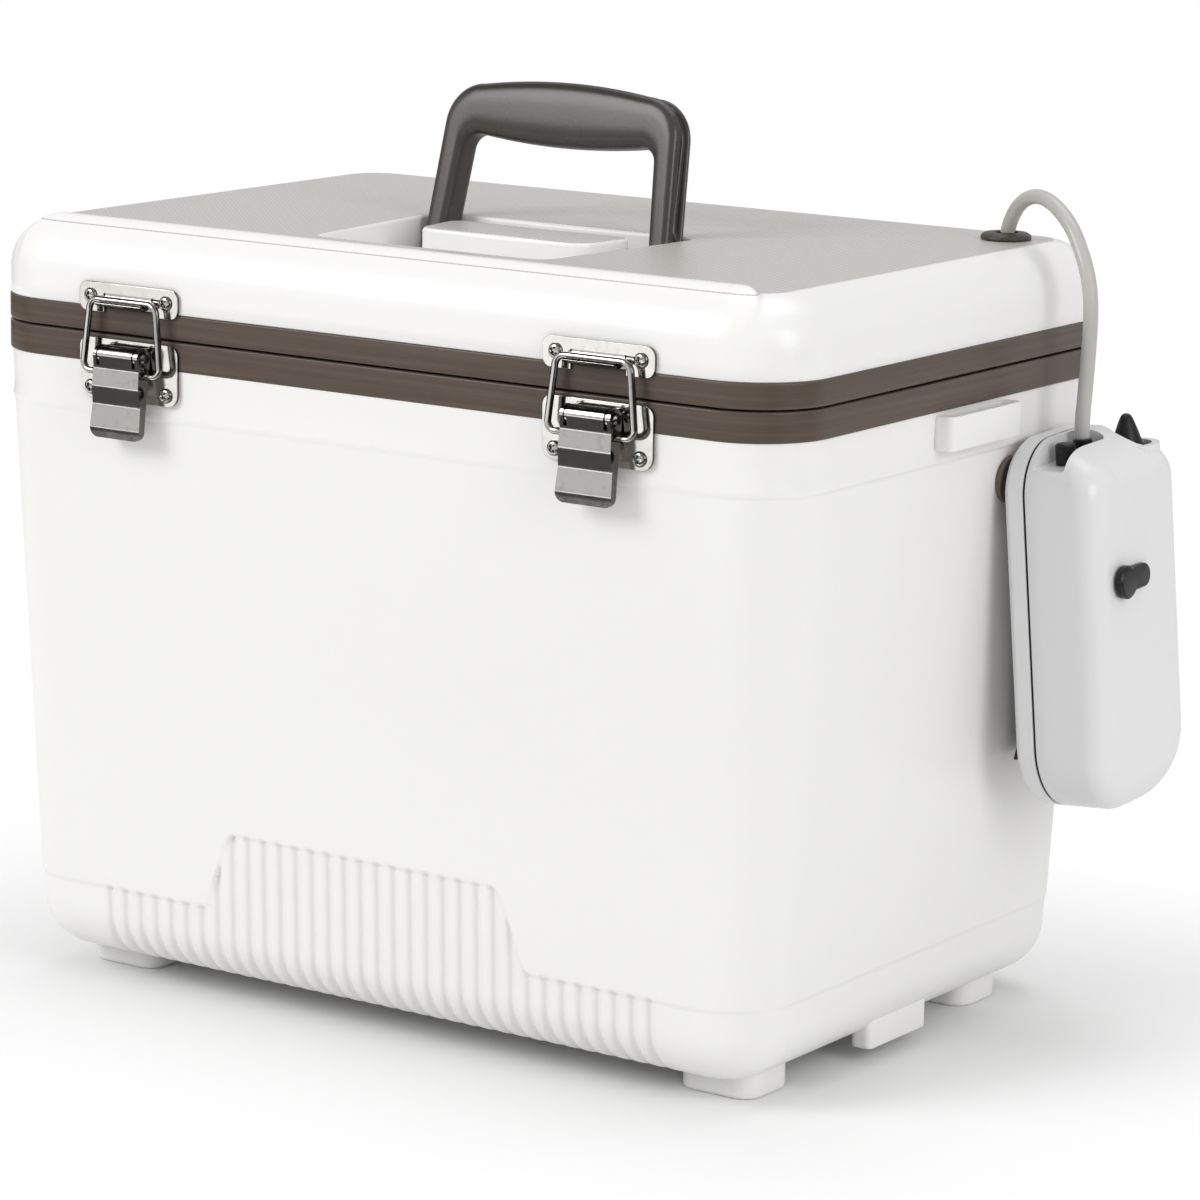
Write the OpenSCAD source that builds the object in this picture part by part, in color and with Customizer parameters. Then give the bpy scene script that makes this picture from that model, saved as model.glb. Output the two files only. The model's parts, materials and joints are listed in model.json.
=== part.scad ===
// Insulated live bait chest: a tapered double-walled tub and a hinged lid with brown edge trim,
// two steel draw latches, a handle that folds into the lid, and a battery air pump on the right
// side whose tube passes through the lid to an air stone.
// Millimetres. X runs along the front, the front faces -Y and Z is up. The origin lies on the
// floor under the centre of the chest.

/* [Chest] */
// Width over the brown trim
trim_w = 390; // [386:1:394]
// Depth over the brown trim
trim_d = 258; // [256:1:260]
// Corner radius of the trim, seen from above
trim_r = 32; // [31:0.5:34]
// Height of the seam between tub and lid
seam_z = 274; // [273:0.5:275]
// Height of the underside above the floor
base_z = 10.5; // [9:0.5:12]
// Narrowing of the tub from its step down to the underside, both sides together
tub_taper_w = 23.4; // [20:0.2:26]
// Narrowing of the tub from front to back over the same height
tub_taper_d = 12.7; // [11:0.1:14]
// Radius of the tub's bottom edge
bottom_r = 20; // [18:1:22]
// Thickness of the outer wall
wall_t = 3.5; // [3.2:0.1:4]
// Thickness of the liner
liner_t = 2.5; // [2:0.1:3]

/* [Lid] */
// Height of the flat top above the seam
lid_h = 41.2; // [40:0.2:42]
// Radius of the lid's shoulder
shoulder_r = 20; // [18:0.5:21]
// Rise of the front rim above the flat top
rim_rise = 2.8; // [2:0.2:3.4]

/* [Fluted skirt] */
// Number of flutes
flutes = 34; // [24:1:40]
// Depth of a flute
flute_depth = 1.6; // [1:0.1:1.8]
// Step between the wall and the skirt
skirt_step = 0.6; // [0.4:0.1:0.8]

/* [Handle] */
// Reach of the handle from its pivot to the top of the grip
handle_reach = 68; // [64:1:70]
// Thickness of the handle
handle_t = 14; // [12:1:15]
// Lean of the raised handle against the recess wall, in degrees
handle_lean = 12; // [10:1:13]

/* [Latches] */
// Distance of each latch from the middle of the front
latch_x = 114; // [100:1:120]
// Diameter of the bail wire
wire_d = 2.8; // [2.4:0.1:3]

/* [Air pump] */
// Width of the pump case
pump_w = 71; // [70:0.5:74]
// Height of the pump case
pump_h = 150; // [148:1:156]
// Diameter of the air tube
tube_d = 6; // [5:0.5:6]

/* [Hidden] */
$fn = 48;
hull_fn = 32;
eps = 0.01;

white = [0.94, 0.94, 0.93];
brown = [0.36, 0.31, 0.27];
steel = [0.75, 0.74, 0.72];
black = [0.08, 0.08, 0.08];

// Tub: the tapered wall ends at a small step under a collar that is nearly flush with the trim.
step_z = seam_z - 33;
collar_z = step_z + 2;
trim_low_z = seam_z - 12.2;
step_w = trim_w - 3.8;
step_d = trim_d - 2;
step_r = trim_r - 1;
collar_low = [trim_w - 2.2, trim_d - 1.4, trim_r - 0.8];
collar_high = [trim_w - 0.6, trim_d - 0.4, trim_r - 0.3];
rim_z = seam_z - 3;
trim_t = 3.4;
seam_gap = 0.4;
neck_w = trim_w - 2 * trim_t - 0.2;
neck_d = trim_d - 2 * trim_t - 0.2;
neck_r = trim_r - trim_t - 0.1;
liner_top = [358, 226, 24];
liner_low = [334, 212, 22];
liner_floor = 26;
wall_lean = atan(tub_taper_w / 2 / (step_z - base_z));

// Skirt: flutes run down the front, round the bottom edge and a little way under the tub.
flute_x0 = -136;
flute_x1 = 140.5;
flute_pitch = (flute_x1 - flute_x0) / flutes;
front_lean = atan(tub_taper_d / 2 / (step_z - base_z));
flute_under = 12;
skirt_z = 42;
zone_top = 74.5;

// Feet and pads
foot = [35, 30, 8];
foot_at = [148.9, 80.1];
pad_at = [172, -3.5];
lug_y = [-18, 36];
lug_z = [247, 260.5];
lug_out = 7.4;
lug_wall = 2.6;

// Lid
lid_top = seam_z + lid_h;
lid_low = seam_z + seam_gap;
lid_trim_top = seam_z + 10.5;
lid_w = trim_w - 0.8;
lid_d = trim_d - 0.8;
lid_r = trim_r - 0.4;
lid_wall = 3.2;
plug = [349, 217, 18];
grommet_bore_r = tube_d / 2 + 0.4;
grommet_mouth_r = grommet_bore_r + 1.2;
plug_z = seam_z - 10;
flange_z = seam_z + 1.5;
rim_y = -106;
rim_side_y = -89;
rim_half_w = 178;

// Handle, its recess and the island between its legs
pivot_z = seam_z + 32;
recess_z = pivot_z - 9;
pivot_r = 3;
leg_in = 50.5;
leg_out = 60.5;
hub_r = 7;

// Latches, with u measured outwards from the face of the trim
pivot_u = 5.6;
latch_pivot_z = seam_z - 7.5;
bail_low_z = latch_pivot_z - 7;
bail_u = 4.5;
bail_high_z = latch_pivot_z + 21.8;
plate_t = 1.2;
roll_r = 4;
rivet_r = 1.5;
wire_r = wire_d / 2;

// Hinges
hinge_x = 140;
hinge_w = 64;
hinge_y = trim_d / 2 + 6;
barrel_r = 4;
leaf_t = 1.6;
pin_r = 1.6;
running = 0.05;

// Pump
pump_at = [trim_w / 2 + 6, 66.5, 170];
pump_turn = [2, -4, 0];
seam_x = 9;
seal_t = 1;
pump_x = 41;
nipples_x = 18.6;
nipple_y = [-16.5, -2.5];
notch_z = 64.5;
inlet_at = [25, 22];
inlet_z = 63;
switch_at = [-11, 19];
switch_travel = 12;
cell_r = 13.1;
cell_l = 50;

// Routes of the air tube
outer_route = [[214.5, 61.5, 243.6], [214.2, 61.4, 247.6], [214.4, 61.2, 253], [215.3, 60.9, 264],
    [216.2, 60.6, 277], [216.8, 60.3, 290], [216.2, 60.6, 300], [213.8, 61.9, 308.7],
    [209.5, 64.2, 316.8], [204, 67.2, 324.2], [196.9, 71, 330], [188.6, 75.5, 333.9],
    [180.2, 80.1, 335], [172.7, 84.1, 333], [167, 87.2, 328.9], [163.1, 89.3, 323.5],
    [161.1, 90.4, 318.5], [160.1, 91, 313.2], [160, 91, 306], [160, 91, 300]];
inner_route = [[160, 91, 300], [160, 91, 285], [160, 91, 262], [160, 91, 240], [160, 90, 215],
    [160, 88, 190], [159, 85, 165], [157, 81, 140], [154, 75, 116], [150, 67, 94], [145, 56, 74],
    [140, 43, 57], [135, 27, 44], [131, 9, 36.5], [129, -9, 34.3], [130, -28, 34.2],
    [132, -46, 34.2], [133, -57, 34.2], [133, -62, 34.2]];
stone_r = 8;
stone_at = [133, -62, 34.2];
stone_l = 30;

function unit(v) = v / norm(v);
function turn(a) = a > 180 ? a - 360 : a < -180 ? a + 360 : a;

// A closed outline from corners [x, y, radius], each corner rounded by n short chords.
function rounded(pts, n = 6) = [for (i = [0 : len(pts) - 1])
    each corner(pts[i], pts[(i + len(pts) - 1) % len(pts)], pts[(i + 1) % len(pts)], n)];
function corner(p, a, b, n) = p[2] == 0 ? [[p[0], p[1]]] :
    let (q = [p[0], p[1]], u = unit([a[0], a[1]] - q), v = unit([b[0], b[1]] - q),
        h = acos(u * v) / 2, c = q + unit(u + v) * p[2] / sin(h),
        s = q + u * p[2] / tan(h) - c, e = q + v * p[2] / tan(h) - c,
        a0 = atan2(s[1], s[0]), d = turn(atan2(e[1], e[0]) - a0))
    [for (k = [0 : n]) c + p[2] * [cos(a0 + d * k / n), sin(a0 + d * k / n)]];
function mirrored(pts) = concat(pts, [for (i = [len(pts) - 1 : -1 : 0]) [-pts[i][0], pts[i][1], pts[i][2]]]);

// A flat rectangle with round corners, size = [width, depth, radius].
module plan(size, inset = 0) {
    r = max(size[2] - inset, 1);
    w = size[0] - 2 * inset;
    d = size[1] - 2 * inset;
    square([w - 2 * r, d], center = true);
    square([w, d - 2 * r], center = true);
    for (x = [-1, 1], y = [-1, 1]) translate([x * (w / 2 - r), y * (d / 2 - r)]) circle(r);
}
module block(size, z0, z1, inset = 0) {
    translate([0, 0, z0]) linear_extrude(z1 - z0) plan(size, inset);
}
module level(size, z, inset = 0) {
    translate([0, 0, z]) linear_extrude(eps) plan(size, inset, $fn = hull_fn);
}
// A ring of the given outer plan; its child is the section, x inwards from the outer face, y up.
module ring(size) {
    r = size[2];
    for (i = [0 : 3]) {
        across = i % 2 == 0 ? size[0] / 2 : size[1] / 2;
        along = i % 2 == 0 ? size[1] - 2 * r : size[0] - 2 * r;
        rotate([0, 0, 90 * i]) {
            translate([across, 0, 0]) mirror([1, 0, 0]) rotate([90, 0, 0])
                linear_extrude(along, center = true) children();
            translate([across - r, along / 2, 0]) rotate_extrude(angle = 90)
                translate([r, 0]) mirror([1, 0]) children();
        }
    }
}
// A block whose top edge is a quarter round.
module domed(size, z0, z1, r) {
    ring(size) {
        translate([0, z0]) square([r, z1 - r - z0]);
        translate([0, z1 - r]) intersection() {
            square([r, r]);
            translate([r, 0]) circle(r);
        }
    }
    block(size, z0, z1, r);
}
module both_sides() {
    children();
    mirror([1, 0, 0]) children();
}

// ---- Tub ----
function tub_at(z) = let (k = (step_z - z) / (step_z - base_z))
    [step_w - k * tub_taper_w, step_d - k * tub_taper_d, step_r - 4 * k];
// The tub's tapered body with its round bottom edge.
module tub_body(z0, z1, inset = 0) {
    hull() {
        for (a = [0 : 15 : 75]) let (z = z0 + bottom_r * (1 - cos(a)))
            level(tub_at(z), z, inset + bottom_r * (1 - sin(a)));
        level(tub_at(z0 + bottom_r), z0 + bottom_r, inset);
        level(tub_at(z1), z1 - eps, inset);
    }
}
// One flute across its pitch: a flat crest, soft flanks and a flat valley.
flute_shape = [[0.2, 0], [0.28, 0.25], [0.36, 0.85], [0.42, 1], [0.58, 1], [0.64, 0.85],
    [0.72, 0.25], [0.8, 0]];
// Its crests are cut down to rest, or left whole where rest is less than the step.
module flute_comb(back, rest = skirt_step + 0.05) {
    polygon(concat([[flute_x0, -back], [flute_x0, rest]],
        [for (i = [0 : flutes - 1], p = flute_shape) [flute_x0 + (i + p[0]) * flute_pitch,
            p[1] == 0 ? rest : skirt_step + 0.05 + p[1] * flute_depth]],
        [[flute_x1, rest], [flute_x1, -back]]));
}
module skirt_zone() {
    polygon(rounded([[flute_x0, -8, 0], [flute_x0, skirt_z, 0], [-81, skirt_z, 3], [-66, zone_top, 6],
        [63, zone_top, 12], [79, skirt_z + 0.4, 12], [flute_x1, skirt_z, 0], [flute_x1, -8, 0]]));
}
module flute_cutter() {
    arc_z = base_z + bottom_r;
    front = tub_at(arc_z)[1] / 2;
    translate([0, -front, arc_z]) rotate([front_lean, 0, 0]) {
        intersection() {
            translate([0, 0, -0.5]) linear_extrude(zone_top) flute_comb(5);
            translate([0, 6, -arc_z]) rotate([90, 0, 0]) linear_extrude(12) skirt_zone();
        }
        translate([0, bottom_r + skirt_step, 0]) rotate([-90, 0, -90])
            rotate_extrude(angle = 90 + front_lean) translate([bottom_r + skirt_step, 0])
                rotate([0, 0, 90]) flute_comb(5, skirt_step - 0.3);
    }
    translate([0, -front + bottom_r + flute_under, base_z - skirt_step]) rotate([90, 0, 0])
        linear_extrude(flute_under) flute_comb(5, skirt_step - 0.3);
}
module lug() {
    x0 = collar_high[0] / 2 - 3;
    x1 = collar_high[0] / 2 + lug_out;
    translate([0, 0, lug_z[0]]) linear_extrude(lug_z[1] - lug_z[0]) difference() {
        translate([(x0 + x1) / 2, (lug_y[0] + lug_y[1]) / 2])
            plan([x1 - x0, lug_y[1] - lug_y[0], 3.5]);
        translate([collar_high[0] / 2 - 0.2, lug_y[0] + 6])
            square([lug_out + 0.2 - lug_wall, lug_y[1] - lug_y[0] - 12]);
    }
}
module tub_shell() {
    color(white) difference() {
        union() {
            tub_body(base_z, skirt_z + 0.2, skirt_step);
            hull() {
                level(tub_at(skirt_z), skirt_z);
                level(tub_at(step_z), step_z);
            }
            hull() {
                level(collar_low, step_z);
                level(collar_low, collar_z);
                level(collar_high, trim_low_z - eps);
            }
            block([neck_w, neck_d, neck_r], trim_low_z - 1, rim_z);
            for (x = [-1, 1], y = [-1, 1]) translate([x * foot_at[0], y * foot_at[1], 0])
                block(foot, 0, base_z + 3);
            both_sides() translate([pad_at[0], pad_at[1], 0]) block([10, 43, 3], base_z - 4.5, base_z + 8);
            both_sides() lug();
        }
        tub_body(base_z + wall_t, step_z + 1, wall_t);
        block([step_w, step_d, step_r], step_z, rim_z + 1, wall_t + 0.6);
        flute_cutter();
        latch_screw_places(4.2);
        hinge_screw_places(-1, 4);
    }
}
module liner_solid(inset, top) {
    hull() {
        for (a = [0 : 30 : 90]) let (z = liner_floor - liner_t + 14 * (1 - cos(a)))
            level(liner_low, z, inset - liner_t + 14 * (1 - sin(a)));
        level(liner_top, top, inset - liner_t);
    }
}
module tub_liner() {
    color(white) difference() {
        union() {
            liner_solid(0, rim_z - eps);
            block([neck_w, neck_d, neck_r], rim_z - 2.2, rim_z, wall_t + 1.1);
        }
        translate([0, 0, liner_t]) liner_solid(liner_t, rim_z + 2);
    }
}
module tub_foam() {
    color("khaki") difference() {
        union() {
            tub_body(base_z + wall_t + 0.3, step_z + 0.5, wall_t + 0.4);
            block([step_w, step_d, step_r], step_z, rim_z - 2.4, wall_t + 1.1);
        }
        liner_solid(-0.3, rim_z + 2);
    }
}
module tub_trim() {
    color(brown) ring([trim_w, trim_d, trim_r]) {
        translate([0.8, trim_low_z]) square([trim_t - 0.8, seam_z - seam_gap - trim_low_z]);
        translate([0, trim_low_z + 0.8]) square([1, seam_z - seam_gap - 0.8 - trim_low_z - 0.8]);
        for (z = [trim_low_z + 0.8, seam_z - seam_gap - 0.8]) translate([0.8, z]) circle(0.8);
        translate([trim_t - 1, rim_z]) square([9.6, 3 - seam_gap]);
    }
}
// Side -1 is the tub leaf and side 1 the lid leaf.
function hinge_screw_z(side) = seam_z + (side < 0 ? -14.5 : 6.4);
module hinge_screw_places(side, reach) {
    for (x = [-1, 1], d = [-1, 1])
        translate([x * hinge_x + d * 24, trim_d / 2 - reach, hinge_screw_z(side)])
            rotate([-90, 0, 0]) cylinder(h = reach + leaf_t + 0.1, r = 1.5);
}
module hinge_barrel(x, w) {
    translate([x, hinge_y, seam_z]) rotate([0, 90, 0]) cylinder(h = w, r = barrel_r, center = true);
}
module hinge_leaves_tub() {
    color(brown) difference() {
        for (x = [-hinge_x, hinge_x]) {
            translate([x - hinge_w / 2, trim_d / 2, seam_z - 18.5]) cube([hinge_w, leaf_t, 14.9]);
            for (d = [-1, 1]) {
                hinge_barrel(x + d * 26.1, 11.8);
                translate([x + d * 26.1 - 5.9, trim_d / 2, seam_z - 8]) cube([11.8, 6, 7.4]);
            }
        }
        hinge_barrel_bore(0);
        hinge_screw_places(-1, 0);
    }
}
module hinge_barrel_bore(gap) {
    for (x = [-hinge_x, hinge_x]) translate([x, hinge_y, seam_z]) rotate([0, 90, 0])
        cylinder(h = hinge_w + 2, r = pin_r + gap, center = true);
}
module hinge_leaves_lid() {
    color(brown) difference() {
        for (x = [-hinge_x, hinge_x]) {
            translate([x - hinge_w / 2, trim_d / 2, seam_z + 0.8]) cube([hinge_w, leaf_t, 8.6]);
            hinge_barrel(x, 40);
            translate([x - 20, trim_d / 2, seam_z + 0.8]) cube([40, 6, 3.4]);
        }
        hinge_barrel_bore(running);
        hinge_screw_places(1, 0);
    }
}
module hinge_pins() {
    color(steel) for (x = [-hinge_x, hinge_x]) translate([x, hinge_y, seam_z]) rotate([0, 90, 0])
        cylinder(h = hinge_w, r = pin_r, center = true);
}
module pan_heads_back(side) {
    for (x = [-1, 1], d = [-1, 1])
        translate([x * hinge_x + d * 24, trim_d / 2 + leaf_t, hinge_screw_z(side)])
            rotate([-90, 0, 0]) pan_head(2.5, 1.4);
}
// A pan head on the plane z = 0: a short cylinder with a rounded rim.
module pan_head(r, h) {
    cylinder(h = h * 0.5, r = r);
    translate([0, 0, h * 0.5 - eps]) cylinder(h = h * 0.5 + eps, r1 = r, r2 = r * 0.72);
}
module hinge_screws_tub() {
    color(steel) {
        hinge_screw_places(-1, 4);
        pan_heads_back(-1);
    }
}
module hinge_screws_lid() {
    color(steel) {
        hinge_screw_places(1, 5.5);
        pan_heads_back(1);
    }
}

// ---- Lid ----
function recess_pts(m = 0) = rounded([[65 + m, 10 + m, 6], [59.5 + m, -48, 60], [56 + m, -85 - m, 9],
    [-56 - m, -85 - m, 9], [-59.5 - m, -48, 60], [-65 - m, 10 + m, 6]]);
function island_pts() = rounded([[45, -6, 5], [41, -36.5, 8], [-41, -36.5, 8], [-45, -6, 5]]);
module lid_shell() {
    color(white) difference() {
        union() {
            domed([lid_w, lid_d, lid_r], lid_trim_top, lid_top, shoulder_r);
            intersection() {
                domed([lid_w, lid_d, lid_r], lid_trim_top, lid_top + rim_rise, shoulder_r + 2);
                difference() {
                    translate([-trim_w / 2, -trim_d / 2, 0])
                        cube([trim_w, trim_d / 2 + rim_side_y, lid_top + 10]);
                    translate([0, rim_y + 40, 0]) block([2 * rim_half_w, 80, 17], 0, lid_top + 10);
                }
            }
            block([neck_w, neck_d, neck_r], lid_low + 1, lid_trim_top + 1);
        }
        difference() {
            union() {
                domed([lid_w - 2 * lid_wall, lid_d - 2 * lid_wall, lid_r - lid_wall],
                    lid_trim_top + 2, lid_top - lid_wall, shoulder_r - lid_wall);
                block([neck_w, neck_d, neck_r], lid_low, lid_trim_top + 3, lid_wall + 0.3);
            }
            translate([0, 0, recess_z - 2.6]) linear_extrude(40) polygon(recess_pts(2.6));
        }
        difference() {
            translate([0, 0, recess_z]) linear_extrude(40) polygon(recess_pts());
            translate([0, 0, recess_z - 1]) linear_extrude(lid_top - recess_z + 1)
                polygon(island_pts());
        }
        handle_pin_places(0);
        grommet_axis() translate([0, 0, -10]) cylinder(h = 40, r = 6.5);
        keeper_screw_places(3);
        hinge_screw_places(1, 5.5);
    }
}
module lid_liner() {
    color(white) difference() {
        union() {
            block([neck_w, neck_d, neck_r], flange_z, flange_z + 2, lid_wall + 0.5);
            block(plug, plug_z, flange_z + 2);
        }
        block(plug, plug_z + liner_t, flange_z + 3, liner_t);
        grommet_axis() translate([0, 0, plug_z - lid_top - 1]) cylinder(h = 10, r = 6.5);
    }
}
module lid_foam() {
    color("khaki") difference() {
        union() {
            block(plug, plug_z + liner_t + 0.2, seam_z + 22, liner_t + 0.3);
            block(plug, seam_z + 20, lid_top - lid_wall - 4, 8);
        }
        translate([-75, -94, recess_z - 3]) cube([150, 112, 40]);
        grommet_axis() translate([0, 0, plug_z - lid_top]) cylinder(h = 80, r = 6.7);
    }
}
module lid_trim() {
    color(brown) difference() {
        ring([trim_w, trim_d, trim_r]) {
            translate([0.8, lid_low]) square([trim_t - 0.8, lid_trim_top - lid_low]);
            translate([0, lid_low + 0.8]) square([1, lid_trim_top - lid_low - 1.6]);
            for (z = [lid_low + 0.8, lid_trim_top - 0.8]) translate([0.8, z]) circle(0.8);
        }
        hinge_screw_places(1, 5.5);
    }
}
module lid_gasket() {
    color(black) ring([trim_w - 15, trim_d - 15, trim_r - 7.5]) {
        translate([0, seam_z - seam_gap + 0.1]) square([3.6, flange_z - seam_z + seam_gap - 0.1]);
    }
}
module grommet_axis() {
    translate([160, 91, lid_top]) children();
}
module lid_grommet() {
    color([0.25, 0.2, 0.17]) grommet_axis() difference() {
        union() {
            rotate_extrude() polygon([[0, 0], [10, 0], [10.4, 0.8], [10, 2], [8.6, 2.8], [5, 3], [0, 3]]);
            translate([0, 0, plug_z - lid_top - 1.5]) cylinder(h = lid_top - plug_z + 1.6, r = 6.4);
            translate([0, 0, plug_z - lid_top - 2]) cylinder(h = 2, r = 9);
        }
        translate([0, 0, plug_z - lid_top - 3]) cylinder(h = 90, r = grommet_bore_r);
        translate([0, 0, -3]) cylinder(h = 6.1, r1 = grommet_bore_r, r2 = grommet_mouth_r);
    }
}
module handle_pin_places(gap) {
    for (x = [-1, 1]) translate([x * 62, 0, pivot_z]) rotate([0, 90, 0])
        cylinder(h = 20, r = pivot_r + gap, center = true);
}
module handle_pins() {
    color(steel) handle_pin_places(0);
}

// ---- Handle ----
// Outline of the raised handle across x and up from its pivot, filled between the legs.
function handle_outer(m = 0) = rounded(mirrored([[leg_out + 0.4 - m, 0, 0],
    [leg_out - 4 - m, handle_reach - 3 - m, 18 - m]]), 8);
function handle_inner() = rounded(mirrored([[leg_in, -1, 0], [leg_in - 4, handle_reach - 24.5, 5]]), 6);
module handle_frame() {
    translate([0, 0, pivot_z]) rotate([-handle_lean, 0, 0]) children();
}
module upright(t) {
    rotate([90, 0, 0]) linear_extrude(t, center = true) children();
}
module handle() {
    groove = 4;
    flange = 3.6;
    color([0.33, 0.31, 0.29]) handle_frame() difference() {
        union() {
            upright(handle_t) difference() {
                union() {
                    polygon(handle_outer());
                    polygon(crown_pts());
                }
                polygon(handle_inner());
            }
            for (x = [-1, 1]) translate([x * (leg_in + leg_out) / 2, 0, 0]) rotate([0, 90, 0])
                cylinder(h = leg_out - leg_in, r = hub_r, center = true);
        }
        upright(handle_t - 2 * flange) difference() {
            translate([-80, 9]) square([160, 80]);
            polygon(handle_outer(groove));
        }
        for (x = [-1, 1]) translate([x * 56, 0, 0]) rotate([0, 90, 0])
            cylinder(h = 20, r = pivot_r + running, center = true);
    }
}
// The slight arch along the top of the grip.
function crown_pts() = [for (i = [0 : 12]) let (x = -39 + 78 * i / 12)
    [x, handle_reach - 3 + 3 * (1 - pow(x / 39, 2))]];

// ---- Latches ----
module latch_frame(side) {
    translate([side * latch_x, -trim_d / 2, 0]) children();
}
// A plate standing on the trim's face: its child is the outline in x and z.
module front_plate(u0, u1) {
    translate([0, -u0, 0]) rotate([90, 0, 0]) linear_extrude(u1 - u0) children();
}
// A strip along x from its section in u and z.
module along_x(w) {
    rotate([90, 0, -90]) linear_extrude(w, center = true) children();
}
module latch_screw_places(reach) {
    for (s = [-1, 1], x = [-19.5, 19.5]) latch_frame(s) translate([x, reach, seam_z - 22.1])
        rotate([90, 0, 0]) cylinder(h = reach + plate_t, r = 1.6);
}
module keeper_screw_places(reach) {
    for (s = [-1, 1], x = [-19.4, 19.4]) latch_frame(s) translate([x, reach, seam_z + 14.9])
        rotate([90, 0, 0]) cylinder(h = reach + plate_t, r = 1.6);
}
module screw_heads(z, x0) {
    for (s = [-1, 1], x = [-x0, x0]) latch_frame(s) translate([x, -plate_t, z])
        rotate([90, 0, 0]) pan_head(3.1, 1.6);
}
module latch_base_screws() {
    color(steel) {
        latch_screw_places(4.2);
        screw_heads(seam_z - 22.1, 19.5);
    }
}
module latch_keeper_screws() {
    color(steel) {
        keeper_screw_places(3);
        screw_heads(seam_z + 14.9, 19.4);
    }
}
module latch_base(side) {
    top = seam_z - 2;
    low = seam_z - 26.5;
    ear_x = 8.7;
    color(steel) difference() {
        latch_frame(side) {
            front_plate(0, plate_t) difference() {
                polygon(rounded(mirrored([[25.2, top, 4], [25.2, low, 5]])));
                translate([-8.4, top - 9.6]) square([16.8, 7.6]);
            }
            for (x = [-1, 1]) translate([x * (ear_x + plate_t / 2), 0, 0]) along_x(plate_t) {
                translate([plate_t - 0.2, latch_pivot_z - 3.5]) square([pivot_u - plate_t + 0.2, 7]);
                translate([pivot_u, latch_pivot_z]) circle(3.5);
            }
        }
        latch_rivet_axis(side) cylinder(h = 40, r = rivet_r, center = true);
        latch_screw_places(0);
    }
}
module latch_rivet_axis(side) {
    latch_frame(side) translate([0, -pivot_u, latch_pivot_z]) rotate([0, 90, 0]) children();
}
module latch_rivets() {
    color(steel) for (s = [-1, 1]) latch_rivet_axis(s) for (m = [0, 1]) mirror([0, 0, m])
        translate([0, 0, 8.6]) {
            cylinder(h = 3.2, r = rivet_r);
            translate([0, 0, 3.1]) pan_head(2.5, 1.3);
        }
}
// Front view of the lever, narrower at the top.
module lever_front(m = 0) {
    polygon(rounded([[-11.1 + m, latch_pivot_z + 6, 0], [11.1 - m, latch_pivot_z + 6, 0],
        [13 - m, latch_pivot_z - 33.1 + m, 3.4 - m], [-13 + m, latch_pivot_z - 33.1 + m, 3.4 - m]]));
}
// Side view of the lever in u and z: rolled top, shallow crease, flared lip.
module lever_side() {
    z = latch_pivot_z;
    polygon(concat([for (a = [0 : 15 : 195]) [pivot_u + roll_r * cos(a), z + roll_r * sin(a)]],
        [[2.7, z - 8], [4.2, z - 14], [6, z - 25], [7.4, z - 33.4], [9.6, z - 33.4],
        [10.1, z - 31], [9.9, z - 27], [9.4, z - 17], [9.1, z - 8.5], [9.3, z - 4.5]]));
}
module latch_lever(side) {
    roll_half = 8.4;
    color(steel) difference() {
        latch_frame(side) difference() {
            intersection() {
                along_x(30) lever_side();
                front_plate(0, 20) lever_front();
            }
            intersection() {
                translate([0, 1.1, 0]) along_x(30) lever_side();
                front_plate(-2, 20) lever_front(1.1);
                translate([-20, -20, latch_pivot_z - 40]) cube([40, 40, 36.5]);
            }
            // slots for the ears and the hollow of the roll
            for (x = [-1, 1]) translate([x * 9.2 - 0.8, -12, latch_pivot_z - 4]) cube([1.6, 14, 10]);
            translate([0, -pivot_u, latch_pivot_z]) rotate([0, 90, 0])
                cylinder(h = 2 * roll_half + 1.6, r = roll_r - 1.1, center = true);
            translate([-roll_half - 1, -pivot_u, latch_pivot_z - 6]) cube([2 * roll_half + 2, 8, 6]);
        }
        latch_rivet_axis(side) cylinder(h = 40, r = rivet_r + running, center = true);
        latch_frame(side) translate([0, -pivot_u, bail_low_z]) rotate([0, 90, 0])
            cylinder(h = 40, r = wire_r + running, center = true);
    }
}
// The wire's route in its own plane: both ends turn inwards at the foot, round corners above.
function bail_route(rise) = let (p = rounded([[9.8, 0, 0], [20, 0, 3.4], [16.8, rise, 4.4],
        [-16.8, rise, 4.4], [-20, 0, 3.4], [-9.8, 0, 0]], 5)) [for (q = p) [q[0], q[1], 0]];
module latch_bail(side) {
    rise = bail_high_z - bail_low_z;
    lean = atan((pivot_u - bail_u) / rise);
    color(steel) latch_frame(side) translate([0, -pivot_u, bail_low_z]) rotate([90 - lean, 0, 0])
        tube(bail_route(rise), wire_d, 12);
}
module latch_keeper(side) {
    low = seam_z + 8.5;
    top = seam_z + 20.5;
    hook_half = 12;
    hook_r = 3.55;
    hook_u = plate_t + hook_r;
    hook_z = bail_high_z + 1.9;
    color(steel) difference() {
        latch_frame(side) {
            front_plate(0, plate_t) difference() {
                polygon(rounded(mirrored([[25.5, top, 4], [25.5, low, 4]])));
                translate([-hook_half - 0.6, low - 1]) square([2 * hook_half + 1.2, hook_z - low + 1]);
            }
            // the middle of the plate curls out below the wire and up again
            translate([0, -hook_u, hook_z]) rotate([90, 0, -90])
                translate([0, 0, -hook_half]) rotate([0, 0, 180])
                    rotate_extrude(angle = 140) translate([hook_r, -hook_half + hook_half])
                        square([plate_t, 2 * hook_half]);
            front_plate(0, plate_t) translate([-hook_half, hook_z]) square([2 * hook_half, 2]);
        }
        keeper_screw_places(0);
    }
}

// ---- Air pump, in its own frame: x outwards from the back, y along the chest, z up ----
module pump_frame() {
    translate(pump_at) rotate(pump_turn) children();
}
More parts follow.
